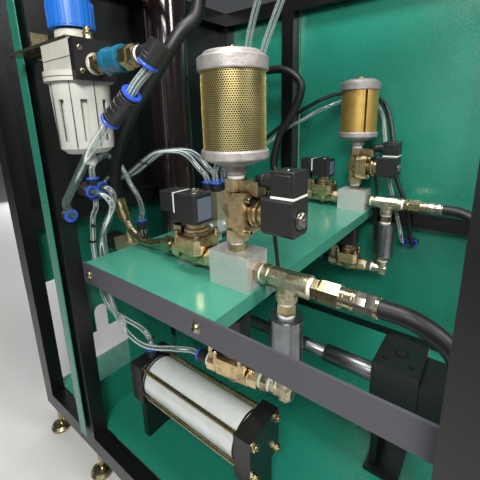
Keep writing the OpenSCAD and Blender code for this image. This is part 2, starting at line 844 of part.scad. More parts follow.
module feed_pipe() {
    color([0.68, 0.62, 0.45]) bay() {
        sweep([[-42, front_y, 58], [-35, front_y, 48], [-22, front_y, 34], [-6, front_y, 24], [12, front_y, 18],
            [32, front_y, 17], [54, front_y, 20], [74, front_y, 26], [88, front_y, port_z],
            [100, front_y, port_z]], pipe_r, 12);
        translate([0, front_y, port_z]) rotate([0, 90, 0]) {
            hex_z([0, 0, 92], 30, inlet_end - 104);
            translate([0, 0, inlet_end - 12.2]) cylinder(r = 13.5, h = 12);
            translate([0, 0, 95]) cylinder(r = thread_r, h = inlet_end - 85);
        }
        translate([-42, front_y, 58]) rotate([0, -22, 0]) difference() {
            union() {
                translate([0, 0, -4]) cylinder(r = 13, h = 12);
                translate([0, 0, 8]) cylinder(r = hose_d / 2 + 2, h = 34);
            }
            translate([0, 0, 10]) cylinder(r = hose_d / 2 + 0.7, h = 40);
        }
        translate([160, hanger_y + tube / 2, head_bottom - 46]) difference() {
            union() {
                cylinder(r = hose_d / 2 + 2, h = 26);
                hex_z([0, 0, 26], 30, 20);
            }
            translate([0, 0, -1]) cylinder(r = hose_d / 2 + 0.4, h = 24);
        }
    }
}

module feed_hose() {
    start = [-42, front_y, 58] + 12 * [-sin(22), 0, cos(22)];
    next = [-42, front_y, 58] + 46 * [-sin(22), 0, cos(22)];
    y = hanger_y + tube / 2;
    color([0.14, 0.14, 0.14]) bay() sweep(smooth([start, next, [-62, front_y, 140], [-45, front_y, 190],
        [8, front_y, 263], [68, front_y, 314], [115, front_y + 4, 358], [140, 136, 400], [156, y - 6, 435],
        [160, y, head_bottom - 52], [160, y, head_bottom - 26]], 2), hose_d / 2, 12);
}

// Air regulator in front of the left post: body, adjusting knob, bowl in its guard, bracket
module regulator_body() {
    color([0.75, 0.75, 0.72]) bay() translate([air_x, air_y, 0]) difference() {
        union() {
            slab([-43, -24, 324], [86, 48, 36]);
            translate([0, 0, 312]) cylinder(r = 42, h = 12);
            ring_z([0, 0, 360], 22, 8.2, 14);
            slab([34, -26, 312], [10, 52, 46]);
            rod_x([-45, 0, air_z], 13, 90);
            translate([34, 0, 359]) cylinder(r = 5.5, h = 10);
            translate([34, 0, 369]) cylinder(r = 3.5, h = 5);
        }
        translate([0, 0, 311]) cylinder(r = 37, h = 10);
        rod_x([-46, 0, air_z], 6.5, 92);
        translate([0, 0, 345]) cylinder(r = 8, h = 40);
    }
}

module regulator_knob() {
    color([0.12, 0.38, 0.7]) bay() translate([air_x, air_y, 0]) {
        difference() {
            union() {
                translate([0, 0, 376]) cylinder(r = 27, h = 34);
                for (a = [0:15:345]) rotate([0, 0, a]) slab([26, -1.5, 378], [2, 3, 28]);
                translate([0, 0, 410]) cylinder(r = 22, h = 5);
                translate([0, 0, 415]) cylinder(r = 9, h = 4);
            }
            translate([0, 0, 375]) cylinder(r = 20, h = 8);
        }
        translate([0, 0, 346]) cylinder(r = 7.95, h = 40);
    }
}

module filter_bowl() {
    color([0.42, 0.42, 0.42]) bay() translate([air_x, air_y, 0]) {
        difference() {
            rotate_extrude() polygon([[0, 221], [26, 221], [34, 228], [36.7, 300], [36.7, 320], [33, 320], [33, 230],
                [0, 226]]);
            for (a = [0:45:315]) rotate([0, 0, a + 20]) slab([20, -4, 238], [20, 8, 52]);
        }
        translate([0, 0, 205]) cylinder(r = 9, h = 17);
        rotate_extrude() polygon([[0, 226], [25, 227], [30, 235], [30, 318], [27, 318], [27, 236], [0, 232]]);
    }
}

module regulator_bracket() {
    z = 360;
    color([0.55, 0.55, 0.56]) bay() {
        difference() {
            slab([-rail_lead, air_y - 24, z], [air_x + 51, 40, 4]);
            translate([air_x, air_y, z - 1]) cylinder(r = 22.2, h = 6);
        }
        slab([-rail_lead, air_y + 11, z], [4, front_post_d - 4, 40]);
    }
}

// Quick coupler on the regulator's outlet
module coupler_socket() {
    color([0.66, 0.6, 0.42]) bay() translate([0, air_y, air_z]) {
        rod_x([air_x + 37, 0, 0], 6, 20);
        hex_x([air_x + 49, 0, 0], 22, 10);
        rod_x([air_x + 59, 0, 0], 11, 60);
        hex_x([240, 0, 0], 24, 12);
        hex_x([252, 0, 0], 21, 10);
        rod_x([262, 0, 0], 6, 13.5);
    }
}

module coupler_sleeve() {
    color([0.12, 0.5, 0.62]) bay() translate([0, air_y, air_z]) rotate([0, 90, 0]) difference() {
        rotate_extrude() polygon([[11.05, 201], [14, 201], [15, 203], [15, 210], [14, 212], [14, 225], [15, 227],
            [15, 234], [14, 236], [11.05, 236]]);
    }
}

air_r = air_d / 2;

// Push-in fitting along local Z: black body, release collar, bore for the tube
module push_in(h) {
    difference() {
        union() {
            cylinder(r = 11, h = h);
            translate([0, 0, h]) cylinder(r = 9, h = 4);
        }
        translate([0, 0, h - 10]) cylinder(r = air_r + 0.3, h = 15);
    }
}

module aim(from, to) {
    d = to - from;
    translate(from) rotate([0, acos(d[2] / norm(d)), atan2(d[1], d[0])]) children();
}

fork = [-50, 41, 137];
clamp_port = [61, 75, -215];
hanger_x = [335, 400];
arc_start = [60, 90];
arc_end = [400, 424];
elbow_at = [289, air_y, air_z];
union_from = [260, -52, 291.5];
union_to = [222, -59, 262];
union_mid = (union_from + union_to) / 2;
post_port = [post_x + tube + panel_gap, -15, 100];
side_port = [-36, 150, -26];

module push_in_fittings() {
    color([0.1, 0.1, 0.11]) bay() {
        for (c = [[front_y, front_turn], [rear_y, rear_turn]]) lower_chain(c[0], c[1]) down_x() {
            translate([0, 0, chain_end + tape_l]) push_in(20);
            translate([0, 0, chain_end - 8]) cylinder(r = 7, h = 8 + tape_l + 1);
        }
        difference() {
            union() {
                rod_x(elbow_at - [21, 0, 0], 9.5, 21);
                aim(elbow_at, union_from) translate([0, 0, -10]) cylinder(r = 11, h = 23);
                aim(elbow_at, union_from) translate([0, 0, 12]) cylinder(r = 9, h = 5);
            }
            rod_x(elbow_at - [22, 0, 0], 6.3, 9);
            aim(elbow_at, union_from) translate([0, 0, 8]) cylinder(r = air_r + 0.3, h = 12);
        }
        translate(fork) difference() {
            union() {
                rod_x([-2, 0, 0], 12, 22);
                for (k = [-1, 1]) rod_x([8, k * 11, k * 2], 10.5, 30);
                for (k = [-1, 1]) rod_x([37, k * 11, k * 2], 9, 5);
                translate([22, 4, -16]) cylinder(r = 10, h = 32);
                translate([22, 4, -20]) cylinder(r = 8.5, h = 40);
            }
            for (k = [-1, 1]) rod_x([34, k * 11, k * 2], air_r + 0.3, 10);
            for (z = [-21, 12]) translate([22, 4, z]) cylinder(r = air_r + 0.3, h = 9);
        }
        aim(union_mid, union_to) difference() {
            union() {
                translate([0, 0, -20]) cylinder(r = 11, h = 40);
                translate([0, 0, -24]) cylinder(r = 9, h = 48);
            }
            for (z = [-26, 12]) translate([0, 0, z]) cylinder(r = air_r + 0.3, h = 14);
        }
        translate(post_port) rotate([0, 90, 0]) push_in(14);
        translate(clamp_port) push_in(12);
        for (x = [137, 158], y = [190, 214]) translate([x, y, 126]) push_in(12);
        for (y = [190, 214]) translate([side_x + tube / 2, y, bar_z + tube + panel_gap]) push_in(12);
        for (x = hanger_x) translate([x, hanger_y + tube / 2, head_bottom - panel_gap]) rotate([180, 0, 0]) push_in(16);
        for (x = arc_end) translate([x, bay_d - panel_gap, -96]) rotate([90, 0, 0]) push_in(14);
        for (z = arc_start) translate([-196, bay_d - panel_gap, z]) rotate([90, 0, 0]) push_in(14);
        translate(side_port) push_in(66);
    }
}

module tube_run(points, n = 2) {
    sweep(smooth(points, n), air_r);
}

module air_tubes() {
    d = unit(union_to - union_from);
    out = unit(union_from - elbow_at);
    hang = hanger_y + tube / 2;
    color([0.7, 0.8, 0.8]) bay() {
        tube_run([elbow_at + 11 * out, elbow_at + 24 * out, union_mid - 35 * d, union_mid - 14 * d]);
        tube_run([union_mid + 14 * d, union_mid + 35 * d, [182, -66, 226], [150, -63, 203], [118, -60, 179],
            [91, -56, 161], [59, -50, 140], [30, -34, 119], [9, -20, 105], [-6, -15, 100],
            [-19, -15, 100]]);
        tube_run([[-14, 30, 135], [-4, 30, 135], [18, 30, 135], [40, 30, 130], [52, 31, 116], [31, 33, 88], [5, 36, 60],
            [-20, 42, 30], [-32, 46, 0], [-36, 50, -40], [-38, 54, -100], [-26, 58, -150], [6, 58, -177],
            [66, 59, -183], [129, 76, -171], [164, 89, -166.5], [184, 91.5, -166], [192, 92.4, -166]]);
        tube_run([side_port + [0, 0, 58], side_port + [0, 0, 74], [-30, 150, 66], [-39, 150, 96], [-64, 150, 124],
            [-83, 150, 151], [-104, 146, 175], [-100, 128, 187], [-78, 100, 191], [-48, 74, 190], [-33, 56, 187],
            [-28, 46, 176], [-28, 45, 164], [-28, 45, 151]]);
        tube_run([[-28, 45, 123], [-28, 45, 110], [-32, 45, 96], [-42, 42, 76], [-51, 41, 30], [-54, 41, 0],
            [-54, 44, -60], [-54, 50, -110], [-44, 62, -146], [-16, 72, -160], [30, 75, -164], [54, 75, -173],
            [61, 75, -190], [61, 75, -200], [61, 75, -209]]);
        tube_run([[-14, 52, 139], [-4, 52, 139], [12, 53, 138], [22, 54, 122], [4, 55, 92], [-22, 56, 66],
            [-38, 58, 36], [-44, 60, 0], [-46, 64, -60], [-44, 80, -110], [-40, 140, -140], [-30, 300, -150],
            [0, rear_y - 178, -160], [60, rear_y - 58, -166], [130, rear_y - 18, -166],
            for (d = [205, 185, 163]) [tee_x - d * cos(rear_turn), rear_y - d * sin(rear_turn), elbow_z]]);
        for (y = [190, 214]) tube_run([[137, y, 129], [137, y, 142], [130, y, 156], [116, y, 166],
            [87, y, 189], [52, y, 198], [-13, y, 193], [-62, y, 172], [-135, y, 133], [-186, y, 118],
            [-220, y, 118], for (z = [102, 86, 74]) [side_x + tube / 2, y, z]]);
        for (i = [0, 1]) let (x = hanger_x[i]) tube_run([[x, hang, head_bottom - 7],
            [x, hang, head_bottom - 25], [x - 9, hang + 1, head_bottom - 50], [285 + 50 * i, 180, 470],
            [247 + 40 * i, 190, 400], [231 + 28 * i, 200, 352], [224 + 18 * i, 214, 290],
            [190 + 8 * i, 190 + 24 * i, 210], [160, 190 + 24 * i, 170], [158, 190 + 24 * i, 142],
            [158, 190 + 24 * i, 129]]);
        tube_run([for (y = [6, 14, 24]) [-196, bay_d - y, arc_start[0]], [-190, bay_d - 40, 68], [-164, bay_d - 50, 88],
            [-60, bay_d - 52, 164], [30, bay_d - 50, 228], [84, bay_d - 50, 252], [137, bay_d - 48, 278],
            [200, bay_d - 18, 303], [280, bay_d - 16, 300], [312, bay_d - 18, 262], [326, bay_d - 34, 215],
            [336, bay_d - 46, 170], [350, bay_d - 50, 100], [366, bay_d - 50, 40], [380, bay_d - 50, -10],
            [392, bay_d - 50, -52], [397, bay_d - 43, -80], [arc_end[0], bay_d - 32, -94],
            for (y = [22, 14, 6]) [arc_end[0], bay_d - y, -96]]);
    }
}

module cable_run(points) {
    sweep(smooth(points, 2), cable_d / 2, 6);
}

module valve_cables() {
    gland = coil_high + gasket_t + plug_s / 2;
    end = coil_x - 8;
    color([0.08, 0.08, 0.08]) bay() {
        for (y = [front_y, rear_y]) {
            z = valve_z + gland;
            cable_run([[stack_x + end, y, z], [stack_x + end - 12, y, z], [301, y + 12, z + 1],
                [300, y + 28, z - 8], [306, y + 38, z - 30], [314, y + 37, 90], [321, y + 35, 50],
                [326, y + 33, 10], [326, y + 32, -40], [326, y + 26, -90]]);
        }
        cable_run([[inlet_x - gland, front_y, port_z + end], [inlet_x - gland, front_y, port_z + end - 12],
            [120, 126, 52], [114, 146, 34], [112, 190, 10], [112, 300, 6], [112, 500, 6]]);
        sweep(smooth([for (y = [6, 14, 24]) [-196, bay_d - y, arc_start[1]], [-190, bay_d - 38, 100], [-156, bay_d - 48, 134],
            [-58, bay_d - 50, 190], [38, bay_d - 50, 257], [137, bay_d - 46, 308], [207, bay_d - 18, 327],
            [300, bay_d - 16, 305], [330, bay_d - 18, 262], [351, bay_d - 35, 188], [366, bay_d - 50, 110],
            [385, bay_d - 53, 60], [402, bay_d - 52, 20], [412, bay_d - 52, -20], [418, bay_d - 50, -60],
            [421, bay_d - 42, -82], [arc_end[1], bay_d - 32, -94],
            for (y = [22, 14, 6]) [arc_end[1], bay_d - y, -96]], 2), air_r);
    }
}

module pilot_valve() {
    color([0.72, 0.66, 0.52]) bay() {
        slab([124, 178, 71], [46, 48, 55]);
        slab([130, 184, 2], [3, 36, 69]);
        slab([130, 184, 0], [30, 36, 2]);
        slab([-172, 134, 0.3 - rail_h - 5], [34, 32, 34]);
        slab([-138, 137, 0.3 - rail_h - 5], [76, 26, 30]);
        rod_x([-62, 150, -20], 5, 14.7);
        translate([-90, 150, -15]) cylinder(r = 7, h = 24);
    }
}

rod_y = 297;
rod_z = -218;
rod_end = 590;

module piston_rod() {
    r = rod_d / 2;
    color([0.55, 0.55, 0.56]) bay() {
        rod_x([350, rod_y, rod_z], r, rod_end - 350);
        rod_x([100, rod_y, rod_z], r - 1.5, 250);
        hex_x([132, rod_y, rod_z], 30, 12);
    }
}

module rod_cylinder() {
    r = rod_d / 2 + 0.05;
    floor_z = base_top + sheet;
    color([0.06, 0.06, 0.07]) bay() difference() {
        union() {
            slab([455, rod_y - 50, rod_z - 61], [75, 100, 122]);
            slab([530, rod_y - 44, rod_z - 44], [76, 88, 88]);
            slab([462, rod_y - 40, floor_z], [12, 80, rod_z - 61 - floor_z]);
            slab([455, rod_y - 50, floor_z], [60, 100, 8]);
        }
        rod_x([454, rod_y, rod_z], r, rod_end - 452);
        for (y = [-36, 36], z = [-46, 46]) rod_x([454, rod_y + y, rod_z + z], 6, 9);
    }
}

module clamp_cylinder() {
    floor_z = base_top + sheet;
    color([0.7, 0.72, 0.72]) bay() {
        at = clamp_port - [0, 0, 42];
        rod_x(at + [16, 0, 0], 40, 236);
        for (x = [-16, 252]) difference() {
            translate(at + [x, -42, -42]) cube([32, 84, 84]);
            for (y = [-32, 32], z = [-32, 32]) rod_x(at + [x - 1, y, z], 5, 9);
        }
        for (x = [-8, 260]) slab([at[0] + x, at[1] - 32, floor_z], [16, 64, at[2] - 42 - floor_z]);
    }
}

frame_posts();
frame_long_rails();
frame_cross_rails();
levelling_feet();
back_panel();
side_panel();
side_partition();
floor_pan();
shelf();
front_rail();
frame_bolts();
tie_column();
front_block();
rear_block();
exhaust_valve_body();
exhaust_valve_coil();
exhaust_valve_plug();
inlet_valve_body();
inlet_valve_coil();
inlet_valve_plug();
rear_exhaust_body();
rear_exhaust_coil();
rear_exhaust_plug();
rear_inlet_body();
rear_inlet_coil();
recovery_valve_body();
recovery_valve_coil();
drain_valve_body();
drain_valve_coil();
silencer_base();
silencer_tube();
silencer_cap();
rear_silencer_base();
rear_silencer_tube();
rear_silencer_cap();
hex_nipples();
tape_rings();
front_tee();
rear_tee();
front_check_valve();
rear_check_valve();
elbows();
hose_ends();
front_hose();
rear_hose();
feed_pipe();
feed_hose();
regulator_body();
regulator_knob();
filter_bowl();
regulator_bracket();
coupler_socket();
coupler_sleeve();
push_in_fittings();
air_tubes();
valve_cables();
pilot_valve();
piston_rod();
rod_cylinder();
clamp_cylinder();
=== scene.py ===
import math
import json
import bpy
import bmesh
from mathutils import Vector, Matrix


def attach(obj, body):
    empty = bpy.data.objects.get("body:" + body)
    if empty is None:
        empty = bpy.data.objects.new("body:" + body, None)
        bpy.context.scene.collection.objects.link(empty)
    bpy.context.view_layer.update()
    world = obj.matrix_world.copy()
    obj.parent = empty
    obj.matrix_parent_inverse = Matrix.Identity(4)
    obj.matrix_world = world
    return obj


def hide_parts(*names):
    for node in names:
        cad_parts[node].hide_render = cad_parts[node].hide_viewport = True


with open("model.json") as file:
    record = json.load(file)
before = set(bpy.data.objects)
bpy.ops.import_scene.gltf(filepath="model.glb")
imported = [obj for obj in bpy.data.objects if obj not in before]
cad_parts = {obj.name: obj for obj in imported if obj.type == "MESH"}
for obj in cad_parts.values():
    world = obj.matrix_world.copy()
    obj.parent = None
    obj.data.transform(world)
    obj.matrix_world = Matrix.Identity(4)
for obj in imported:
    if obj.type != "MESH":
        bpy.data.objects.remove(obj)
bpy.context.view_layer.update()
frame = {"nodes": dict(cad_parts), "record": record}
nodes = frame["nodes"]

# The shelf's front left corner in the part's frame, in millimetres. Pieces are placed from it.
SHELF = Vector((45.0, 15.0, 520.0))


def rgb(r, g, b):
    """An sRGB colour of 0 to 255 as linear RGBA."""
    c = [v / 255 for v in (r, g, b)]
    return [v / 12.92 if v <= 0.04045 else ((v + 0.055) / 1.055) ** 2.4 for v in c] + [1.0]


# Camera: fitted to the photograph's own edges, with its focal length and shift in pixels
PICTURE = 480
SENSOR = 36.0
cam_data = bpy.data.cameras.new("camera")
cam_data.sensor_width = SENSOR
cam_data.lens = 333.53 / PICTURE * SENSOR
cam_data.shift_y = -38 / PICTURE
cam_data.clip_start = 0.02
cam = bpy.data.objects.new("camera", cam_data)
bpy.context.scene.collection.objects.link(cam)
right = Vector((0.79240, 0.60953, -0.02396))
down = Vector((0.13064, -0.20795, -0.96938))
ahead = Vector((-0.59584, 0.76501, -0.24441))
turn = Matrix((right, -down, -ahead)).transposed().to_4x4()
cam.matrix_world = Matrix.Translation((Vector((583.9, -282.3, 262.4)) + SHELF) / 1000) @ turn
bpy.context.scene.camera = cam


class Value:
    """A shader socket with arithmetic."""

    def __init__(self, mat, socket):
        self.mat = mat
        self.socket = socket

    def maths(self, operation, other):
        return self.mat.node("ShaderNodeMath", [self, other], operation=operation)

    def __add__(self, b):
        return self.maths("ADD", b)

    def __rsub__(self, b):
        return (self * -1) + b

    def __mul__(self, b):
        return self.maths("MULTIPLY", b)

    def ramp(self, low, high):
        """0 below low, 1 above high, smooth between."""
        return self.mat.node("ShaderNodeMapRange", {"Value": self, "From Min": low, "From Max": high},
                             interpolation_type="SMOOTHSTEP")

    def inside(self, low, high, soft):
        """1 between low and high, with edges of the given softness."""
        return self.ramp(low - soft, low + soft) * (1 - self.ramp(high - soft, high + soft))


class Paint:
    """A material and the one method that makes its nodes."""

    def __init__(self, name, **fixed):
        self.material = bpy.data.materials.new(name)
        self.material.use_nodes = True
        self.tree = self.material.node_tree
        self.shader = self.tree.nodes["Principled BSDF"]
        for key, value in fixed.items():
            self.shader.inputs[key.replace("_", " ")].default_value = value

    def node(self, kind, inputs=(), output=0, **settings):
        n = self.tree.nodes.new(kind)
        for key, value in settings.items():
            setattr(n, key, value)
        pairs = inputs.items() if isinstance(inputs, dict) else enumerate(inputs)
        for key, value in pairs:
            if isinstance(value, Value):
                self.tree.links.new(value.socket, n.inputs[key])
            elif value is not None:
                n.inputs[key].default_value = value
        return Value(self, n.outputs[output])

    def place(self):
        """The point in the part's frame, in metres."""
        return self.node("ShaderNodeTexCoord", output="Object")

    def axis(self, number):
        """One coordinate of that point: 0 is X, 1 is Y, 2 is Z."""
        return self.node("ShaderNodeSeparateXYZ", [self.place()], output=number)

    def stretched(self, x, y, z):
        return self.node("ShaderNodeVectorMath", {0: self.place(), 1: (x, y, z)}, operation="MULTIPLY")

    def noise(self, scale, detail=3.0, vector=None, rough=0.5, bend=0.0):
        inputs = {"Vector": vector or self.place(), "Scale": scale, "Detail": detail, "Roughness": rough,
                  "Distortion": bend}
        return self.node("ShaderNodeTexNoise", inputs)

    def cells(self, scale, feature="F1"):
        return self.node("ShaderNodeTexVoronoi", {"Vector": self.place(), "Scale": scale}, feature=feature)

    def mix(self, factor, a, b):
        return self.node("ShaderNodeMix", {0: factor, 6: a, 7: b}, output=2, data_type="RGBA")

    def put(self, **inputs):
        for key, value in inputs.items():
            socket = self.shader.inputs[key.replace("_", " ")]
            if isinstance(value, Value):
                self.tree.links.new(value.socket, socket)
            else:
                socket.default_value = value
        return self

    def bump(self, height, distance, strength):
        inputs = {"Height": height, "Distance": distance, "Strength": strength}
        return self.put(Normal=self.node("ShaderNodeBump", inputs))


def scaled(colour, share):
    """A share of an sRGB colour, as linear RGBA."""
    return rgb(*[v * share for v in colour])


# Outputs of the shader nodes that have more than one
FACING = 1
SHARE_OPEN = 1
POINTINESS = 7


def wear(p, base, dark, scale, amount):
    """Base colour with soft darker blotches."""
    return p.mix(p.noise(scale, 4.0).ramp(0.4, 0.75) * amount, base, dark)


# Powder coated sheet and tube, smooth, with a little dust in large patches
def painted(name, colour, rough, grain=900.0, depth=0.00005, coat=0.0):
    p = Paint(name, Coat_Weight=coat, Coat_Roughness=0.12)
    shade = wear(p, rgb(*colour), scaled(colour, 0.8), 12.0, 0.12)
    p.put(Base_Color=shade, Roughness=p.noise(30.0, 3.0) * 0.12 + (rough - 0.06))
    p.bump(p.noise(grain, 1.0), depth, 0.5)
    return p


# Plated or polished metal with soft stains and a faint grain
def metal(name, colour, rough, dark=None, scale=60.0, amount=0.4, depth=0.00002, grain=2500.0):
    p = Paint(name, Metallic=1.0)
    p.put(Base_Color=wear(p, rgb(*colour), rgb(*dark) if dark else scaled(colour, 0.7), scale, amount))
    p.put(Roughness=p.noise(scale * 2, 3.0) * 0.2 + (rough - 0.1))
    p.bump(p.noise(grain, 2.0), depth, 0.6)
    return p


# Sand cast metal: mottled colour with dark pits and a grainy skin
def cast(name, colour, dark, rough, grain, depth, metallic=1.0):
    p = Paint(name, Metallic=metallic)
    pits = p.noise(grain, 2.0).ramp(0.52, 0.75)
    stain = p.noise(70.0, 5.0, bend=0.4).ramp(0.38, 0.68)
    tone = p.mix(stain * 0.75, rgb(*colour), rgb(*dark))
    p.put(Base_Color=p.mix(pits * 0.4, tone, scaled(dark, 0.45)))
    p.put(Roughness=p.noise(160.0, 4.0) * 0.3 + (rough - 0.15))
    p.bump(p.noise(grain, 3.0) + p.cells(grain * 0.4) * 0.6, depth, 0.8)
    return p


# Turned or milled metal with fine marks along the given directions
def brushed(name, colour, dark, rough, stretch, depth, metallic=1.0, stained=0.5):
    p = Paint(name, Metallic=metallic)
    marks = p.noise(1.0, 4.0, vector=p.stretched(*stretch), rough=0.7)
    stain = p.noise(45.0, 4.0).ramp(0.35, 0.8) * stained
    p.put(Base_Color=p.mix(marks.ramp(0.3, 0.75) * 0.5 + stain, rgb(*colour), rgb(*dark)))
    p.put(Roughness=marks * 0.3 + (rough - 0.12))
    p.bump(marks, depth, 0.8)
    return p


# Powder coat with an orange peel skin that sparkles in the light
def peeled(name, colour, rough, depth):
    p = Paint(name, Coat_Weight=0.35, Coat_Roughness=0.15)
    shade = p.mix(p.noise(9.0, 4.0).ramp(0.35, 0.8) * 0.25, rgb(*colour), scaled(colour, 0.72))
    scuff = p.noise(1.0, 5.0, vector=p.stretched(60.0, 240.0, 60.0)).ramp(0.66, 0.8)
    p.put(Base_Color=p.mix(scuff * 0.12, shade, rgb(200, 225, 214)))
    p.put(Roughness=p.noise(40.0, 3.0) * 0.18 + (rough - 0.09))
    p.bump(p.cells(300.0, feature="SMOOTH_F1") + p.noise(700.0, 2.0) * 0.6, depth, 0.6)
    return p


# Moulded plastic or rubber with a fine matt grain
def plastic(name, colour, rough, grain=3000.0, depth=0.00002):
    p = Paint(name)
    p.put(Base_Color=wear(p, rgb(*colour), scaled(colour, 0.8), 30.0, 0.2))
    p.put(Roughness=p.noise(50.0) * 0.1 + (rough - 0.05))
    p.bump(p.noise(grain, 1.0), depth, 0.6)
    return p


# Clear polyurethane: a see-through wall with dense edges, and bright lines along it that are painted highlights
# set by the angle of view
def clear(name):
    p = Paint(name, Roughness=0.05, IOR=1.5)
    facing = p.node("ShaderNodeLayerWeight", {"Blend": 0.5}, output=FACING)
    # Painted highlights: two pale lines along each tube, where its surface turns a set amount away from the
    # view
    painted_highlight = facing.inside(0.34, 0.44, 0.04)
    painted_glint = facing.inside(0.08, 0.12, 0.02)
    edge = facing.ramp(0.6, 0.95)
    p.put(Base_Color=p.mix(painted_highlight + painted_glint * 0.8, rgb(112, 136, 132), rgb(246, 252, 250)))
    p.put(Alpha=painted_highlight * 0.6 + painted_glint * 0.35 + edge * 0.4 + 0.17)
    return p


# Cast brass body: a mottled tone, with painted shade darkening its crevices and painted highlights lightening
# its sharp edges
def bronze(name, colour, dark, rough):
    p = Paint(name, Metallic=0.9)
    # Painted shade: where ambient occlusion finds little open air, the colour goes towards a near black brass
    open_air = p.node("ShaderNodeAmbientOcclusion", {"Distance": 0.016}, output=SHARE_OPEN, samples=6)
    shade = open_air.ramp(0.35, 0.95)
    stain = p.noise(90.0, 5.0, bend=0.3).ramp(0.42, 0.7) * 0.45
    tone = p.mix(stain, rgb(*colour), rgb(*dark))
    # Painted highlights: sharp convex edges go towards a pale brass
    painted_edge_highlight = p.node("ShaderNodeNewGeometry", output=POINTINESS).ramp(0.52, 0.62)
    skin = p.mix(painted_edge_highlight * 0.7, tone, rgb(240, 220, 180))
    p.put(Base_Color=p.mix(shade, scaled(dark, 0.35), skin))
    p.put(Roughness=p.noise(240.0, 3.0) * 0.24 + (rough - 0.12))
    p.bump(p.noise(600.0, 3.0) + p.cells(260.0) * 0.5, 0.00022, 0.7)
    return p


# Side wall: green paint below the bar, and above it near black painted shade for the dark inside of the cabinet
def green_and_painted_shade(name, low, high, z, rough):
    p = Paint(name, Coat_Weight=0.1, Coat_Roughness=0.2)
    # Painted shade: everything above the bar's height takes the near black high colour
    painted_shade_above = p.axis(2).ramp(z - 0.0003, z + 0.0003)
    tone = p.mix(painted_shade_above, rgb(*low), rgb(*high))
    p.put(Base_Color=p.mix(p.noise(12.0, 4.0).ramp(0.35, 0.8) * 0.3, tone, rgb(6, 20, 18)))
    p.put(Roughness=p.noise(40.0, 3.0) * 0.16 + (rough - 0.08))
    p.bump(p.cells(300.0, feature="SMOOTH_F1"), 0.0004, 0.5)
    return p


# Bands of one colour in another, by the part's own X in metres
def banded(name, colour, band, spans, rough, metallic=0.0):
    p = Paint(name)
    x = p.axis(0)
    inside = x.inside(*spans[0], 0.00005)
    for span in spans[1:]:
        inside = inside + x.inside(*span, 0.00005)
    tone = wear(p, rgb(*colour), scaled(colour, 0.82), 35.0, 0.3)
    p.put(Base_Color=p.mix(inside, tone, rgb(*band)), Metallic=(1 - inside) * metallic)
    p.put(Roughness=p.noise(60.0, 3.0) * 0.14 + (rough - 0.07))
    p.bump(p.noise(1500.0, 2.0), 0.00005, 0.6)
    return p


# One look a material slot of the part, then the looks of single pieces
LOOKS = {
    "black_paint": painted("black_paint", (8, 8, 9), 0.34, coat=0.05),
    "dark_paint": painted("dark_paint", (9, 10, 11), 0.36, coat=0.2),
    "green_paint": peeled("green_paint", (31, 122, 101), 0.27, depth=0.0006),
    # The shelf wears the walls' green paint, made lighter as painted light on its upward face
    "shelf_green_painted_light": peeled("shelf_green_painted_light", (66, 142, 121), 0.19, depth=0.0001),
    "grey_paint": painted("grey_paint", (70, 70, 78), 0.42, grain=1400.0, depth=0.0001),
    "zinc_steel": metal("zinc_steel", (186, 176, 140), 0.27, (146, 132, 92), 40.0, 0.5, 0.000004),
    "dull_steel": metal("dull_steel", (168, 163, 150), 0.3, depth=0.000005),
    "bare_aluminium": brushed("bare_aluminium", (236, 234, 230), (160, 159, 156), 0.46, (70.0, 70.0, 2600.0),
                              0.00012, 0.72, 0.12),
    "brass": bronze("brass", (220, 194, 148), (112, 90, 60), 0.31),
    "black_oxide": metal("black_oxide", (44, 44, 47), 0.34),
    "black_plastic": plastic("black_plastic", (33, 34, 33), 0.4, grain=900.0, depth=0.00012),
    "cast_aluminium": cast("cast_aluminium", (176, 171, 168), (146, 141, 138), 0.55, 800.0, 0.0005, 0.6),
    "perforated_brass": metal("perforated_brass", (255, 238, 172), 0.38, (224, 194, 118), 20.0, 0.4),
    "rolled_brass": brushed("rolled_brass", (226, 190, 112), (180, 142, 70), 0.42, (260.0, 260.0, 12.0),
                            0.00002, 0.85),
    "white_tape": plastic("white_tape", (226, 226, 222), 0.6, grain=1200.0, depth=0.00015),
    "dark_steel": brushed("dark_steel", (150, 153, 156), (108, 111, 114), 0.3, (60.0, 60.0, 1600.0), 0.00001),
    "rubber": plastic("rubber", (20, 20, 20), 0.46, grain=900.0, depth=0.00018),
    "light_plastic": plastic("light_plastic", (186, 184, 174), 0.4),
    "blue_plastic": plastic("blue_plastic", (24, 100, 186), 0.35),
    "teal_sleeve": plastic("teal_sleeve", (22, 96, 124), 0.25),
    "ring_blue": plastic("ring_blue", (48, 84, 196), 0.3),
    "bowl_guard": plastic("bowl_guard", (180, 181, 174), 0.42),
    "clear_tube": clear("clear_tube"),
    "clear_bore": clear("clear_bore"),
    "rod_steel": metal("rod_steel", (128, 129, 132), 0.34, (112, 112, 112), 3.0, 0.4, 0.0, 20.0),
    "lining": plastic("lining", (26, 19, 7), 0.8),
    "column_paint": painted("column_paint", (26, 17, 17), 0.14, grain=260.0, depth=0.00025, coat=0.6),
    "name_plate": plastic("name_plate", (104, 114, 132), 0.4),
    # Near black: painted shade in screw sockets, recesses, joints and slots, and the own colour of the small
    # dark pins and seal rings
    "dark_hole": Paint("dark_hole", Base_Color=rgb(8, 8, 9), Roughness=0.7),
    # The side wall's near black above the bar is painted shade
    "side_wall": green_and_painted_shade("side_wall", (22, 112, 92), (7, 8, 9), 0.5705, 0.38),
    "champagne": banded("champagne", (206, 194, 164), (20, 20, 22), [(-0.128, -0.0925)], 0.34, 0.8),
    "rough_zinc": cast("rough_zinc", (224, 218, 190), (160, 152, 122), 0.32, 900.0, 0.0004),
    "regulator": banded("regulator", (186, 184, 174), (20, 20, 22), [(0.2092, 0.2195)], 0.4),
    "cylinder_grey": banded("cylinder_grey", (216, 222, 220), (20, 21, 22),
                            [(0.0895, 0.1225), (0.3575, 0.3905)], 0.3, 0.25),
}
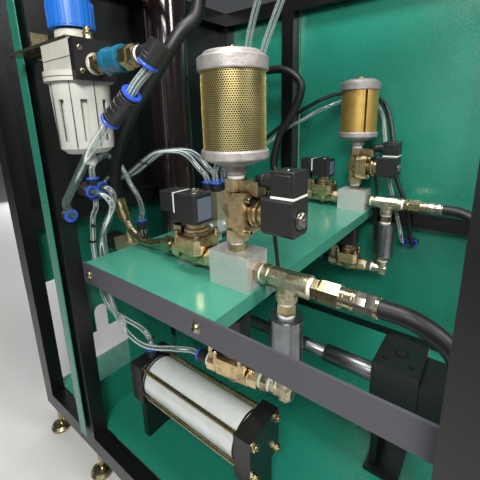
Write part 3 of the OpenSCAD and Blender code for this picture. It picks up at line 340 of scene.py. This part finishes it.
OTHER_LOOKS = {"shelf": "shelf_green_painted_light", "side_panel": "side_wall", "tie_column": "column_paint",
               "rear_silencer_tube": "rolled_brass", "coupler_sleeve": "teal_sleeve",
               "pilot_valve": "champagne",
               "front_tee": "rough_zinc", "rear_tee": "rough_zinc", "elbows": "rough_zinc",
               "regulator_body": "regulator", "clamp_cylinder": "cylinder_grey"}
for sub in frame["record"]["subparts"]:
    obj = nodes[sub["node"]]
    obj.data.materials.clear()
    obj.data.materials.append(LOOKS[OTHER_LOOKS.get(sub["node"], sub["material_slot"])].material)


def mm(x, y, z):
    return Matrix.Translation(Vector((x, y, z)))


def about(axis, degrees):
    return Matrix.Rotation(math.radians(degrees), 4, axis)


def at(x, y, z):
    """A place given in millimetres of the shelf's frame."""
    return mm(x + SHELF.x, y + SHELF.y, z + SHELF.z)


# The two valve stacks: their Y, the X of their blocks, the height of their ports, the X of their
# tees and the height of the lower valves, each with the turn of its chain below the shelf
FRONT_Y = 113
REAR_Y = 658
STACK_X = 269
PORT_Z = 28
TEE_X = 360
LOWER_Z = -166
TURNS = {FRONT_Y: 7, REAR_Y: 4}
SIDEWAYS = about("Y", 90)

# Frames of the six valves: flow along Z, coil towards +X
UPRIGHT = [at(STACK_X, y, 124) for y in TURNS]
LYING = [at(176, y, PORT_Z) @ about("Y", -90) for y in TURNS]
CHAINS = [at(TEE_X, y, LOWER_Z) @ about("Z", turn) for y, turn in TURNS.items()]
LOWER = [chain @ mm(-96, 0, 0) @ about("Y", -90) for chain in CHAINS]


def round_edges(obj, width, degrees):
    mod = obj.modifiers.new("edge", "BEVEL")
    mod.width = width / 1000
    mod.segments = 2
    mod.limit_method = "ANGLE"
    mod.angle_limit = math.radians(degrees)


class Build:
    """Collects simple forms, given in millimetres, and makes them one piece."""

    def __init__(self):
        self.mesh = bmesh.new()

    def skin(self, points, faces, place):
        made = [self.mesh.verts.new((place @ Vector(p)) / 1000) for p in points]
        for f in faces:
            if len(set(f)) > 2:
                self.mesh.faces.new([made[i] for i in f])
        return self

    def lathe(self, profile, place, steps=48, sides=None):
        """Turns (radius, height) points about Z. sides gives a polygon in place of a circle."""
        n = sides or steps
        circle = [(math.cos(math.tau * k / n), math.sin(math.tau * k / n)) for k in range(n)]
        points = []
        rings = []
        for r, z in profile:
            if r == 0:
                rings.append([len(points)] * n)
                points.append((0, 0, z))
            else:
                rings.append([len(points) + k for k in range(n)])
                points += [(r * x, r * y, z) for x, y in circle]
        faces = []
        for a, b in zip(rings, rings[1:]):
            for k in range(n):
                face = [a[k], a[(k + 1) % n], b[(k + 1) % n], b[k]]
                faces.append([v for i, v in enumerate(face) if v not in face[:i]])
        return self.skin(points, faces, place)

    def box(self, low, high, place):
        xs, ys, zs = zip(low, high)
        points = [(x, y, z) for x in xs for y in ys for z in zs]
        faces = [(0, 1, 3, 2), (4, 6, 7, 5), (0, 4, 5, 1), (2, 3, 7, 6), (0, 2, 6, 4), (1, 5, 7, 3)]
        return self.skin(points, faces, place)

    def sweep(self, route, radius, sides):
        """A tube with closed ends along a route in millimetres."""
        route = [Vector(p) for p in route]
        n = len(route)
        side = None
        points = []
        for i, p in enumerate(route):
            t = (route[min(i + 1, n - 1)] - route[max(i - 1, 0)]).normalized()
            if side is None:
                side = t.orthogonal().normalized()
            side = (side - side.dot(t) * t).normalized()
            up = t.cross(side)
            for k in range(sides):
                a = math.tau * k / sides
                points.append(p + radius * (math.cos(a) * side + math.sin(a) * up))
        faces = []
        for i in range(n - 1):
            for k in range(sides):
                j = (k + 1) % sides
                faces.append((i * sides + k, i * sides + j, (i + 1) * sides + j, (i + 1) * sides + k))
        faces.append(tuple(range(sides - 1, -1, -1)))
        faces.append(tuple((n - 1) * sides + k for k in range(sides)))
        return self.skin(points, faces, Matrix())

    def done(self, name, look, body="frame", bevel=0.0, flat=40, stands_for=()):
        """Makes the piece, with sharp edges over flat degrees, and gives it its look and its body."""
        data = bpy.data.meshes.new(name)
        bmesh.ops.recalc_face_normals(self.mesh, faces=self.mesh.faces)
        self.mesh.to_mesh(data)
        self.mesh.free()
        data.materials.append(LOOKS[look].material)
        obj = bpy.data.objects.new(name, data)
        bpy.context.scene.collection.objects.link(obj)
        if bevel:
            round_edges(obj, bevel, 40)
        data.set_sharp_from_angle(angle=math.radians(flat))
        for f in data.polygons:
            f.use_smooth = True
        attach(obj, body)
        if stands_for:
            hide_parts(*stands_for)


def smooth_route(points, steps):
    """A smooth curve through points of the shelf's frame, in millimetres of the part's frame."""
    p = [Vector(q) + SHELF for q in points]
    out = []
    for i in range(len(p) - 1):
        a, b, c, d = p[max(i - 1, 0)], p[i], p[i + 1], p[min(i + 2, len(p) - 1)]
        for k in range(steps):
            u = k / steps
            out.append(0.5 * (2 * b + (c - a) * u + (2 * a - 5 * b + 4 * c - d) * u * u
                              + (3 * b - a - 3 * c + d) * u ** 3))
    return out + [p[-1]]


# Widths of the fine edges on the machined and moulded CAD pieces, in millimetres
EDGES = {
    1.5: ("rod_cylinder", "frame_posts"),
    1.2: ("exhaust_valve_coil", "inlet_valve_coil", "rear_exhaust_coil", "rear_inlet_coil",
          "recovery_valve_coil", "drain_valve_coil", "regulator_body", "clamp_cylinder"),
    1.0: ("exhaust_valve_plug", "inlet_valve_plug", "rear_exhaust_plug"),
    0.8: ("exhaust_valve_body", "inlet_valve_body", "rear_exhaust_body", "rear_inlet_body",
          "recovery_valve_body", "drain_valve_body", "front_tee", "rear_tee", "elbows", "shelf",
          "pilot_valve", "silencer_base", "silencer_cap", "rear_silencer_base", "rear_silencer_cap",
          "front_check_valve", "rear_check_valve", "tape_rings"),
    0.6: ("front_block", "rear_block", "hose_ends", "regulator_knob", "filter_bowl", "coupler_sleeve",
          "push_in_fittings"),
    0.5: ("hex_nipples", "feed_pipe", "front_rail", "coupler_socket", "regulator_bracket", "piston_rod"),
    0.3: ("frame_bolts",),
}
for width, names in EDGES.items():
    for name in names:
        round_edges(nodes[name], width, 35)


# Perforated tube of the front silencer: a rolled brass sheet with fine staggered holes
# punched through it, over a dark lining, held between the bowl and the cap by one tie rod.
# Each hole is a hexagonal tube in its own hexagon of sheet, and the hexagons share corners.
MESH_LOW = 214.3 + SHELF.z
MESH_HIGH = 330.5 + SHELF.z
MESH_RADIUS = 47.0
MESH_WALL = 0.8
MESH_COLUMNS = 88
HOLE = 0.44
ROW_STEP = math.sqrt(3) / 2
CORNERS = [(0.5, 1 / 3), (0, 2 / 3), (-0.5, 1 / 3), (-0.5, -1 / 3), (0, -2 / 3), (0.5, -1 / 3)]


def perforated():
    height = MESH_HIGH - MESH_LOW
    rows = round(height / (math.tau * MESH_RADIUS / MESH_COLUMNS * ROW_STEP))
    row = height / rows
    points = []
    faces = []
    shared = {}

    def add(u, v, radius):
        a = math.tau * u / MESH_COLUMNS
        points.append((radius * math.cos(a), radius * math.sin(a), MESH_LOW + v * row))
        return len(points) - 1

    def corner(u, v):
        key = (round(u * 12) % (MESH_COLUMNS * 12), round(v * 12))
        if key not in shared:
            shared[key] = add(u, v, MESH_RADIUS)
        return shared[key]

    for j in range(rows):
        for i in range(MESH_COLUMNS):
            u = i + 0.5 * (j % 2)
            v = j + 0.5
            rim = [corner(u + du, min(max(v + dv, 0), rows)) for du, dv in CORNERS]
            hole = []
            inner = []
            for du, dv in CORNERS:
                a = math.atan2(dv * ROW_STEP, du)
                spot = (u + HOLE * math.cos(a), v + HOLE * math.sin(a) / ROW_STEP)
                hole.append(add(*spot, MESH_RADIUS))
                inner.append(add(*spot, MESH_RADIUS - MESH_WALL))
            for k in range(6):
                m = (k + 1) % 6
                faces.append((rim[k], rim[m], hole[m], hole[k]))
                faces.append((hole[k], hole[m], inner[m], inner[k]))
    return Build().skin(points, faces, mm(STACK_X + SHELF.x, FRONT_Y + SHELF.y, 0))


perforated().done("front_silencer_mesh", "perforated_brass", stands_for=("silencer_tube",), flat=50)
lining = Build()
lining.lathe([(44.5, 209), (44.5, 331)], at(STACK_X, FRONT_Y, 0), steps=64)
lining.done("silencer_lining", "lining")

# Tie rod of the front silencer: its threaded end stands out of the cap's top,
# through a round washer and a chamfered hexagon nut.
crown = Build()
top = at(STACK_X, FRONT_Y, 0)
crown.lathe([(0, 361), (4.2, 361), (4.8, 360.2), (4.8, 358)], top)
crown.lathe([(0, 359.6), (7.6, 359.6), (8.6, 358.6), (8.6, 355.2), (0, 355.2)], top, sides=6)
crown.lathe([(0, 355.4), (11, 355.4), (11, 354.2), (0, 354.2)], top)
crown.done("silencer_nut", "zinc_steel", bevel=0.3)


# Trim of the pilot valves: socket cap screws on the cover, the flanged nut that holds
# the coil, the white gasket under the cable plug, its screw and the ribbed gland nut.
bright = Build()
screws = Build()
white = Build()
# dark: near black painted shade in the screw sockets, the nut's bore, the gap under the nut, the recess under
# the plug screw and the screw's slot
dark = Build()
glands = Build()
covers = Build()
for place in UPRIGHT + LYING + LOWER:
    lying = place @ SIDEWAYS
    for y in (-24.5, 24.5):
        for z in (-24.5, 24.5):
            screw = place @ mm(0, y, z) @ SIDEWAYS
            screws.lathe([(0, 42.2), (5.1, 42.2), (5.1, 36.1)], screw, steps=20)
            screws.lathe([(5.1, 42.2), (5.1, 45), (4.6, 45.6), (2.9, 45.6)], screw, steps=20)
            dark.lathe([(2.9, 45.5), (2.9, 43), (0, 42.8)], screw, sides=6)
    bright.lathe([(12.8, 111.1), (12.8, 112.2), (12.3, 112.8), (10.4, 112.9)], lying, steps=36)
    bright.lathe([(11.4, 112.6), (11.4, 116.6), (10.6, 117.6), (8, 117.7)], lying, sides=6)
    bright.lathe([(8.4, 117.5), (7.6, 117.9), (5.6, 117.9), (5.2, 117.4), (3.9, 117.4), (3.9, 118.8),
                  (3.3, 119.3), (0, 119.3)], lying, steps=36)
    dark.lathe([(2.6, 119.3), (0, 119.5)], lying, steps=12)
    dark.lathe([(15.6, 111), (15.6, 111.35), (13.6, 111.35)], lying, steps=36)
    white.box((75, -20.6, 30.4), (111.4, 20.6, 33.8), place)
    covers.box((74.6, -20, 34), (111.6, 20, 68.6), place)
    covers.box((80, -21, 38), (106, 21, 64), place)
    plug = place @ mm(92, 0, 0)
    dark.lathe([(4.4, 68.75), (0, 68.7)], plug, steps=24)
    bright.lathe([(0, 69.2), (3, 69.2), (3.5, 68.8), (3.5, 68)], plug, steps=20)
    dark.box((89, -0.45, 69.1), (95, 0.45, 69.4), place)
    gland = place @ mm(0, 0, 51) @ SIDEWAYS
    for k in range(16):
        glands.box((12.2, -1.1, 64), (13.9, 1.1, 73.6), gland @ about("Z", 22.5 * k))
    glands.lathe([(10.1, 52), (11, 52.4), (11, 54), (10.4, 55.4), (10.4, 57), (11.4, 58), (11.4, 62.4),
                  (10.1, 63)], gland)
covers.done("plug_covers", "black_plastic", bevel=1.1)
bright.done("valve_nuts", "dull_steel", flat=35)
screws.done("cover_screws", "zinc_steel", flat=35)
white.done("plug_gaskets", "white_tape", bevel=0.4)
dark.done("valve_recess_shade", "dark_hole")
glands.done("gland_ribs", "black_plastic", bevel=0.3)

# Necks of the two silencer bowls: each cast neck has a ring of short upright grip ribs
# just over the thread that screws into the valve.
RIBS = 28
necks = Build()
for y in TURNS:
    for k in range(RIBS):
        necks.box((16.2, -0.7, 184), (17.7, 0.7, 191.4), at(STACK_X, y, 0) @ about("Z", k * 360 / RIBS))
necks.done("neck_ribs", "cast_aluminium", bevel=0.3)

# Pilot valve: a white cast foot with two legs under its champagne body, with two port bosses,
# and small dark pins pressed into the body's front and right faces.
foot = Build()
foot.box((126, 179, 44), (168, 225, 71), at(0, 0, 0))
foot.box((126, 181, 12), (140, 197, 46), at(0, 0, 0))
foot.box((126, 207, 12), (140, 223, 46), at(0, 0, 0))
foot.box((133, 184, 2), (164, 220, 5), at(0, 0, 0))
foot.lathe([(0, 5), (4.6, 5), (5.2, 4.2), (5.2, 0)], at(150, 179, 56) @ about("X", 90), steps=24)
foot.lathe([(0, 4), (4, 4), (4.5, 3.4), (4.5, 0)], at(168, 202, 57) @ SIDEWAYS, steps=24)
foot.done("pilot_foot", "bare_aluminium", bevel=1.2)
pins = Build()
for z in (80, 116):
    pins.lathe([(0, 0.4), (1.9, 0.4), (2.2, 0)], at(147, 177.9, z) @ about("X", 90), steps=16)
    pins.lathe([(0, 0.4), (1.9, 0.4), (2.2, 0)], at(170.1, 202, z) @ SIDEWAYS, steps=16)
pins.done("pilot_pins", "dark_hole")

# Plates of the two inlet valves' coils, left bare: a thin grey blue sheet on the coil's
# side face, inside a raised border.
plates = Build()
rims = Build()
for place in LYING:
    plates.box((66, -17, -23.5), (106, 17, -22.8), place)
    for low, high in (((65, -18, -23.8), (107, -17, -22.8)), ((65, 17, -23.8), (107, 18, -22.8)),
                      ((65, -17, -23.8), (66, 17, -22.8)), ((106, -17, -23.8), (107, 17, -22.8))):
        rims.box(low, high, place)
plates.done("coil_plates", "name_plate", bevel=0.2)
rims.done("coil_plate_rims", "black_plastic")


# Push-in fittings: a blue release ring with a rolled lip round each tube, and low grip
# rings on the black bodies. Each place is that of a fitting's axis, each height its own.
def aim(point, towards):
    way = Vector(towards) - Vector(point)
    return at(*point) @ way.to_track_quat("Z", "Y").to_matrix().to_4x4()


ELBOW = (289, -40, 331)
UNION = ((260, -52, 291.5), (222, -59, 262))
MIDDLE = tuple((a + b) / 2 for a, b in zip(*UNION))
COLLARS = [(aim(ELBOW, UNION[0]), 12.4)]
COLLARS += [(aim(MIDDLE, end), 20) for end in UNION]
COLLARS += [(at(-50, 41 + 11 * k, 137 + 2 * k) @ SIDEWAYS, 37) for k in (-1, 1)]
COLLARS += [(at(-28, 45, 137) @ about("X", a), 16) for a in (0, 180)]
COLLARS += [(at(-24.7, -15, 100) @ SIDEWAYS, 14), (at(61, 75, -215), 12), (at(-36, 150, -26), 66)]
COLLARS += [(at(x, y, 126), 12) for x in (137, 158) for y in (190, 214)]
COLLARS += [(at(-245, y, 70.3), 12) for y in (190, 214)]
COLLARS += [(at(x, 170, 569.7) @ about("X", 180), 16) for x in (335, 400)]
COLLARS += [(at(x, 739.7, -96) @ about("X", 90), 14) for x in (400, 424)]
COLLARS += [(at(-196, 739.7, z) @ about("X", 90), 14) for z in (60, 90)]
COLLARS += [(chain @ about("Y", -90), 171) for chain in CHAINS]
rings = Build()
grips = Build()
for place, h in COLLARS:
    rings.lathe([(9.1, h + 0.6), (10.4, h + 1), (11.6, h + 2.2), (11.8, h + 3.6), (11.2, h + 4.8),
                 (8.6, h + 5.2), (6.6, h + 4.6), (6.3, h + 3)], place, steps=32)
    grips.lathe([(11, h - 4.4), (11.5, h - 4), (11.5, h - 2), (11, h - 1.6)], place, steps=32)
    grips.lathe([(11, h - 8), (11.4, h - 7.7), (11.4, h - 6.4), (11, h - 6.1)], place, steps=32)
middle = aim(MIDDLE, UNION[1])
for h in (-5.5, 2.5):
    grips.lathe([(11, h), (11.6, h + 0.4), (11.6, h + 2.6), (11, h + 3)], middle, steps=32)
rings.done("release_rings", "ring_blue")
grips.done("fitting_grips", "black_plastic")

# Socket of the left side fitting, an eight sided zinc body below its release ring, and the
# hexagon of the small valve's fitting beside it.
ports = Build()
ports.lathe([(11.1, 1), (11.8, 1.6), (11.8, 12), (11.2, 13), (11.2, 40), (11.6, 41), (11.6, 50), (11, 51)],
            at(-36, 150, -26), sides=8)
ports.lathe([(7.3, 2), (9.4, 2), (9.4, 12), (7.3, 12)], at(-90, 150, -15), sides=6)
ports.done("side_port_socket", "rough_zinc", bevel=0.4, flat=30)

# Cable ties: a thin black band round an air tube with its square lock, at the places
# where the photograph shows one or where a long tube needs it.
TIES = [((-76, 214, 164.4), (-81, 214, 161.7)), ((-64, 190, 171.1), (-69, 190, 168.3)),
        ((57.5, 75, -181), (59, 75, -185)), ((-51, 41, 26), (-51.4, 41, 22)),
        ((-39.6, 44, 62), (-42, 43, 55)), ((366, 690, 40), (368, 690, 35))]
ties = Build()
for point, towards in TIES:
    place = aim(point, towards)
    ties.lathe([(6.1, -2), (7.1, -1.7), (7.1, 1.7), (6.1, 2)], place, steps=24)
    ties.box((6.4, -2.2, -2.6), (10.4, 2.2, 2.6), place)
ties.done("tube_ties", "black_plastic", bevel=0.2)

# Rubber hoses, on the routes of the CAD pieces: the two high pressure hoses that bend down to
# the right base rail, the loop up to the back panel, and the feed hose that rises to the top.
def hose(name, look, routes, radius, stands_for, sides=24, steps=6):
    b = Build()
    for route in routes:
        b.sweep(smooth_route(route, steps), radius, sides)
    b.done(name, look, stands_for=stands_for, flat=60)


def drop(y):
    return [(482, y, 28), (500, y, 28), (534, y, 25), (572, y, 2), (593, y, -50), (595, y, -120),
            (595, y, -240), (595, y, -315), (595, y, -333)]


HOSE_RADIUS = 12
LOOP = [(-150, 737.7, 402), (-150, 721.7, 402), (-150, 705.7, 402), (-138, 684, 404), (-95, 664, 406),
        (-40, 664, 406), (32, 664, 401), (84, 664, 366), (86, 664, 323), (59, 664, 267), (17, 664, 206),
        (-6, 664, 124), (2, 664, 84), (20, 662, 52), (44, 658, 32), (66, 658, 28), (80, 658, 28), (92, 658, 28)]
FEED = [(-46.5, 113, 69.1), (-59.2, 113, 100.7), (-62, 113, 140), (-45, 113, 190), (8, 113, 263),
        (68, 113, 314), (115, 117, 358), (140, 136, 400), (156, 164, 435), (160, 170, 518), (160, 170, 544)]
hose("front_hose_skin", "rubber", [drop(FRONT_Y)], HOSE_RADIUS, ("front_hose",))
hose("rear_hose_skin", "rubber", [drop(REAR_Y), LOOP], HOSE_RADIUS, ("rear_hose",))
hose("feed_hose_skin", "rubber", [FEED], HOSE_RADIUS, ("feed_hose",))

# Clear air tubes: elbow to union, union to the left post, then those of the fork and the side
# fitting, the one along the back panel, and the four of the pilot valve. Each has an inner
# skin for its bore and ends inside the fitting that holds it.
TUBES = [
    [(284.6, -41.8, 324.8), (280.6, -43.7, 315), (266.7, -50.5, 300.5), (253, -55, 283.5)],
    [(230, -57.6, 270.7), (214, -60.4, 255.5), (182, -66, 226), (150, -63, 203), (118, -60, 179),
     (91, -56, 161), (59, -50, 140), (30, -34, 119), (9, -20, 105), (-6, -15, 100), (-19, -15, 100)],
    [(-14, 30, 135), (-4, 30, 135), (18, 30, 135), (40, 30, 130), (52, 31, 116), (31, 33, 88), (5, 36, 60),
     (-20, 42, 30), (-32, 46, 0), (-36, 50, -40), (-38, 54, -100), (-26, 58, -150), (6, 58, -177),
     (66, 59, -183), (129, 76, -171), (164, 89, -166.5), (184, 91.5, -166), (192, 92.4, -166)],
    [(-36, 150, 32), (-36, 150, 48), (-30, 150, 66), (-39, 150, 96), (-64, 150, 124), (-83, 150, 151),
     (-104, 146, 175), (-100, 128, 187), (-78, 100, 191), (-48, 74, 190), (-33, 56, 187), (-28, 46, 176),
     (-28, 45, 164), (-28, 45, 151)],
    [(-28, 45, 123), (-28, 45, 110), (-32, 45, 96), (-42, 42, 76), (-51, 41, 30), (-54, 41, 0), (-54, 44, -60),
     (-54, 50, -110), (-44, 62, -146), (-16, 72, -160), (30, 75, -164), (54, 75, -173), (61, 75, -190),
     (61, 75, -200), (61, 75, -209)],
    [(-14, 52, 139), (-4, 52, 139), (12, 53, 138), (22, 54, 122), (4, 55, 92), (-22, 56, 66), (-38, 58, 36),
     (-44, 60, 0), (-46, 64, -60), (-44, 80, -110), (-40, 140, -140), (-30, 300, -150), (0, 480, -160),
     (60, 600, -166), (130, 640, -166), (155.5, 643.7, -166), (175.5, 645.1, -166), (197.4, 646.6, -166)],
    [(-196, 734, 60), (-196, 726, 60), (-196, 716, 60), (-190, 700, 68), (-164, 690, 88), (-60, 688, 164),
     (30, 690, 228), (84, 690, 252), (137, 692, 278), (200, 722, 303), (280, 724, 300), (312, 722, 262),
     (326, 706, 215), (336, 694, 170), (350, 690, 100), (366, 690, 40), (380, 690, -10), (392, 690, -52),
     (397, 697, -80), (400, 708, -94), (400, 718, -96), (400, 726, -96), (400, 734, -96)],
]
for i, x in enumerate((335, 400)):
    y = 190 + 24 * i
    TUBES.append([(137, y, 129), (137, y, 142), (130, y, 156), (116, y, 166), (87, y, 189), (52, y, 198),
                  (-13, y, 193), (-62, y, 172), (-135, y, 133), (-186, y, 118), (-220, y, 118),
                  (-242, y, 102), (-242, y, 86), (-242, y, 74)])
    TUBES.append([(x, 170, 563), (x, 170, 545), (x - 9, 171, 520), (285 + 50 * i, 180, 470),
                  (247 + 40 * i, 190, 400), (231 + 28 * i, 200, 352), (224 + 18 * i, 214, 290),
                  (190 + 8 * i, y, 210), (160, y, 170), (158, y, 142), (158, y, 129)])
hose("air_tube_skins", "clear_tube", TUBES, 6, ("air_tubes",), 28, 7)
hose("air_tube_bores", "clear_bore", TUBES, 3.9, (), 16, 7)

# Crimped ferrules at both ends of the high pressure hoses: ten flats pressed round the
# sleeve, with a groove between two bands, rolled ends and a ring behind the swivel nut.
ENDS = [at(415, y, PORT_Z) @ SIDEWAYS for y in TURNS] + [at(595, y, -398) for y in TURNS]
crimps = Build()
for place in ENDS:
    crimps.lathe([(14, 47), (15.1, 48.5), (15.1, 60), (14.6, 61.5), (15.1, 63), (15.1, 72), (14, 73.5)], place,
                 sides=10)
    crimps.lathe([(14, 42), (14.9, 42.6), (14.9, 44.4), (14, 45)], place)
    crimps.lathe([(14, 75), (14.7, 75.4), (14.7, 76.8), (12.4, 77.4)], place)
    crimps.lathe([(13.5, 30), (14, 30.4), (14, 33), (13.5, 33.4)], place)
crimps.done("crimped_ferrules", "dull_steel", bevel=0.25, flat=25)

# Air regulator: four studs in its black end plate, a stepped zinc plug on top beside the
# knob, a parting line round the body, and dark lines down the bowl's guard.
studs = Build()
for z in (322, 348):
    for y in (-58, -22):
        studs.lathe([(0, 175.6), (2.6, 175.6), (3.2, 175), (3.2, 173.8)], at(0, y, z) @ SIDEWAYS, steps=20)
stopper = at(164, -40, 0)
studs.lathe([(6.2, 359.8), (6.2, 364.2), (5.8, 364.8), (5.8, 366.2), (6.2, 366.8), (6.2, 368.6), (4, 369.6),
             (4, 374.6), (3.2, 375.4), (0, 375.4)], stopper, sides=12)
studs.lathe([(4.4, 371), (4.8, 371.4), (4.8, 372.8), (4.4, 373.2)], stopper)
studs.done("regulator_studs", "zinc_steel", bevel=0.2)
# The parting line, the bowl's joint and the guard's lines are near black strips of painted shade
lines = Build()
lines.box((86.7, -64.3, 339.6), (163.8, -15.7, 340.3), at(0, 0, 0))
bowl = at(130, -40, 0)
lines.lathe([(42.2, 316.6), (42.2, 317.4)], bowl, steps=64)
for a in range(0, 360, 45):
    lines.box((36.4, -0.4, 230), (37.1, 0.4, 312), bowl @ about("Z", a - 2.5))
lines.done("regulator_line_shade", "dark_hole")

# Guide sleeve that rides on the piston rod and gives it the thickness of the photograph,
# with a step to its thicker right part, a ring and chamfered ends.
ROD_Y = 297
ROD_Z = -218
rod = at(0, ROD_Y, ROD_Z) @ SIDEWAYS
sleeve = Build()
sleeve.lathe([(8.6, 145), (12.6, 145), (13.4, 146), (13.4, 346), (12.4, 347.5), (12.4, 351), (17, 351),
              (18, 352.4), (18, 450), (17, 452.6), (10.1, 452.6)], rod, steps=56)
sleeve.lathe([(13.4, 300), (14.6, 300.6), (14.6, 309.4), (13.4, 310)], rod, steps=56)
sleeve.done("rod_sleeve", "rod_steel", body="rod")

# Dark head of the rod cylinder: socket cap screws sunk in its four counterbores, the gland
# ring round the rod, and on its top a capped port between two hexagon screws.
sunk = Build()
hollow = Build()
for y in (-36, 36):
    for z in (-46, 46):
        screw = at(456.5, ROD_Y + y, ROD_Z + z) @ SIDEWAYS
        sunk.lathe([(0, 4.4), (2.6, 4.4), (2.6, 1.2), (4.7, 1.2), (5.2, 1.8), (5.2, 6)], screw, steps=20)
sunk.lathe([(10.3, -1.6), (15, -1.6), (15.6, -1), (15.6, 1.2)], at(454.4, ROD_Y, ROD_Z) @ SIDEWAYS, steps=40)
for x in (471, 514):
    sunk.lathe([(0, 0.8), (4.4, 0.8), (5, 0.2), (5, -1)], at(x, 270, -157), sides=6)
port = at(492, 300, -157)
# A near black disc of painted shade in the hollow of the port
hollow.lathe([(9, 0.3), (0, 0.3)], port, steps=28)
sunk.lathe([(9, 0.2), (9, 0.9), (11.4, 0.9), (11.8, 0.2)], port, steps=28)
sunk.done("head_screws", "black_oxide", bevel=0.2)
hollow.done("head_port_shade", "dark_hole")

# Clamp cylinder: four tie rods along its barrel with a washer and a nut outside each end
# block, and a dark seal ring where the barrel enters a block.
tie_rods = Build()
for y in (43, 107):
    for z in (-289, -225):
        tie_rods.lathe([(4.2, 77), (4.2, 313)], at(0, y, z) @ SIDEWAYS, steps=20)
        for x, way in ((345, 90), (45, -90)):
            nut = at(x, y, z) @ about("Y", way)
            tie_rods.lathe([(8.6, 0), (8.6, 1), (7.6, 1.2)], nut, steps=24)
            tie_rods.lathe([(7.4, 0.6), (7.4, 5.6), (6.6, 6.4), (4.2, 6.4)], nut, sides=6)
            tie_rods.lathe([(4.2, 6), (4.2, 8.6), (3.6, 9.2), (0, 9.2)], nut, steps=20)
tie_rods.done("cylinder_tie_rods", "zinc_steel", flat=30)
seals = Build()
for x in (79, 307):
    seals.lathe([(40, 0), (41.2, 0.5), (41.2, 3.5), (40, 4)], at(x, 75, -257) @ SIDEWAYS, steps=64)
seals.done("cylinder_seals", "dark_hole")

# Panel screws: pan heads with a cross recess that hold the back and side walls to the
# frame, along their outer edges and beside the joints of the sheets.
pans = Build()
crosses = Build()


def panel_screw(place):
    pans.lathe([(0, 2.2), (2.4, 2), (4.2, 1.2), (4.6, 0), (5.6, 0), (5.6, -0.2)], place, steps=18)
    # A near black cross of painted shade in each recess
    crosses.box((-2.2, -0.4, 2), (2.2, 0.4, 2.3), place)
    crosses.box((-0.4, -2.2, 2), (0.4, 2.2, 2.3), place)


for x in (-242, -120, 20, 66, 200, 340, 480, 595):
    for z in (-420, 590):
        panel_screw(at(x, 742.2, z) @ about("X", -90))
for z in (-250, -80, 90, 260, 430):
    for x in (-242, 595):
        panel_screw(at(x, 742.2, z) @ about("X", -90))
for y in (-12, 180, 370, 560, 722):
    for z in (-104, 34, 66, 590):
        panel_screw(at(-264.2, y, z) @ about("Y", -90))
pans.done("panel_screws", "dull_steel")
crosses.done("cross_recess_shade", "dark_hole")

# Bolts of the front rail: a bright washer round each button head and the dark hexagon
# socket in the head's middle.
bolts = Build()
sockets = Build()
for x in (-2, 280):
    place = at(x, 0, -20) @ about("X", 90)
    bolts.lathe([(9.3, 0.1), (9.3, 1), (8.7, 1.5), (7.9, 1.5)], place, steps=32)
    # A near black hexagon of painted shade in each socket
    sockets.lathe([(3.2, 5.9), (0, 5.8)], place, sides=6)
bolts.done("rail_washers", "zinc_steel")
sockets.done("rail_socket_shade", "dark_hole")

# Floor and light: a plain pale floor, a soft key lamp at the front right with three weaker
# ones for the inside, and two large lamps for the back and the left side.
floor_mesh = bpy.data.meshes.new("floor")
floor_mesh.from_pydata([(-6, -6, 0), (6, -6, 0), (6, 6, 0), (-6, 6, 0)], [], [(0, 1, 2, 3)])
floor = bpy.data.objects.new("floor", floor_mesh)
bpy.context.scene.collection.objects.link(floor)
floor_mesh.materials.append(Paint("floor", Base_Color=rgb(214, 214, 212), Roughness=0.8).material)


def lamp(name, spot, target, power, size, colour=(1, 1, 1)):
    data = bpy.data.lights.new(name, "AREA")
    data.energy = power
    data.shape = "RECTANGLE"
    data.size, data.size_y = size
    data.color = colour
    obj = bpy.data.objects.new(name, data)
    bpy.context.scene.collection.objects.link(obj)
    obj.location = spot
    obj.rotation_euler = (Vector(target) - Vector(spot)).to_track_quat("-Z", "Y").to_euler()


lamp("key", (0.95, -0.8, 1.5), (0.25, 0.35, 0.6), 27, (0.5, 0.4), (1.0, 0.98, 0.94))
lamp("fill", (0.4, -1.8, 1.0), (0.4, 0.3, 0.5), 3, (0.8, 1.4), (0.92, 0.97, 1.0))
lamp("top", (0.3, 0.02, 1.9), (0.25, 0.15, 0.5), 15, (0.35, 0.35))
lamp("side", (1.5, 0.2, 1.55), (0.45, 0.75, 0.95), 13, (0.25, 0.6))
lamp("back", (-0.4, 3.2, 0.75), (0.2, 0.8, 0.5), 75, (1.8, 1.2))
lamp("left", (-3.0, 1.6, 0.75), (-0.2, 0.4, 0.5), 34, (1.6, 1.2))
world = bpy.data.worlds.new("world")
bpy.context.scene.world = world
world.use_nodes = True
sky = world.node_tree.nodes["Background"]
sky.inputs["Color"].default_value = (0.8, 0.85, 0.9, 1)
sky.inputs["Strength"].default_value = 0.085
bpy.context.scene.view_settings.view_transform = "Standard"
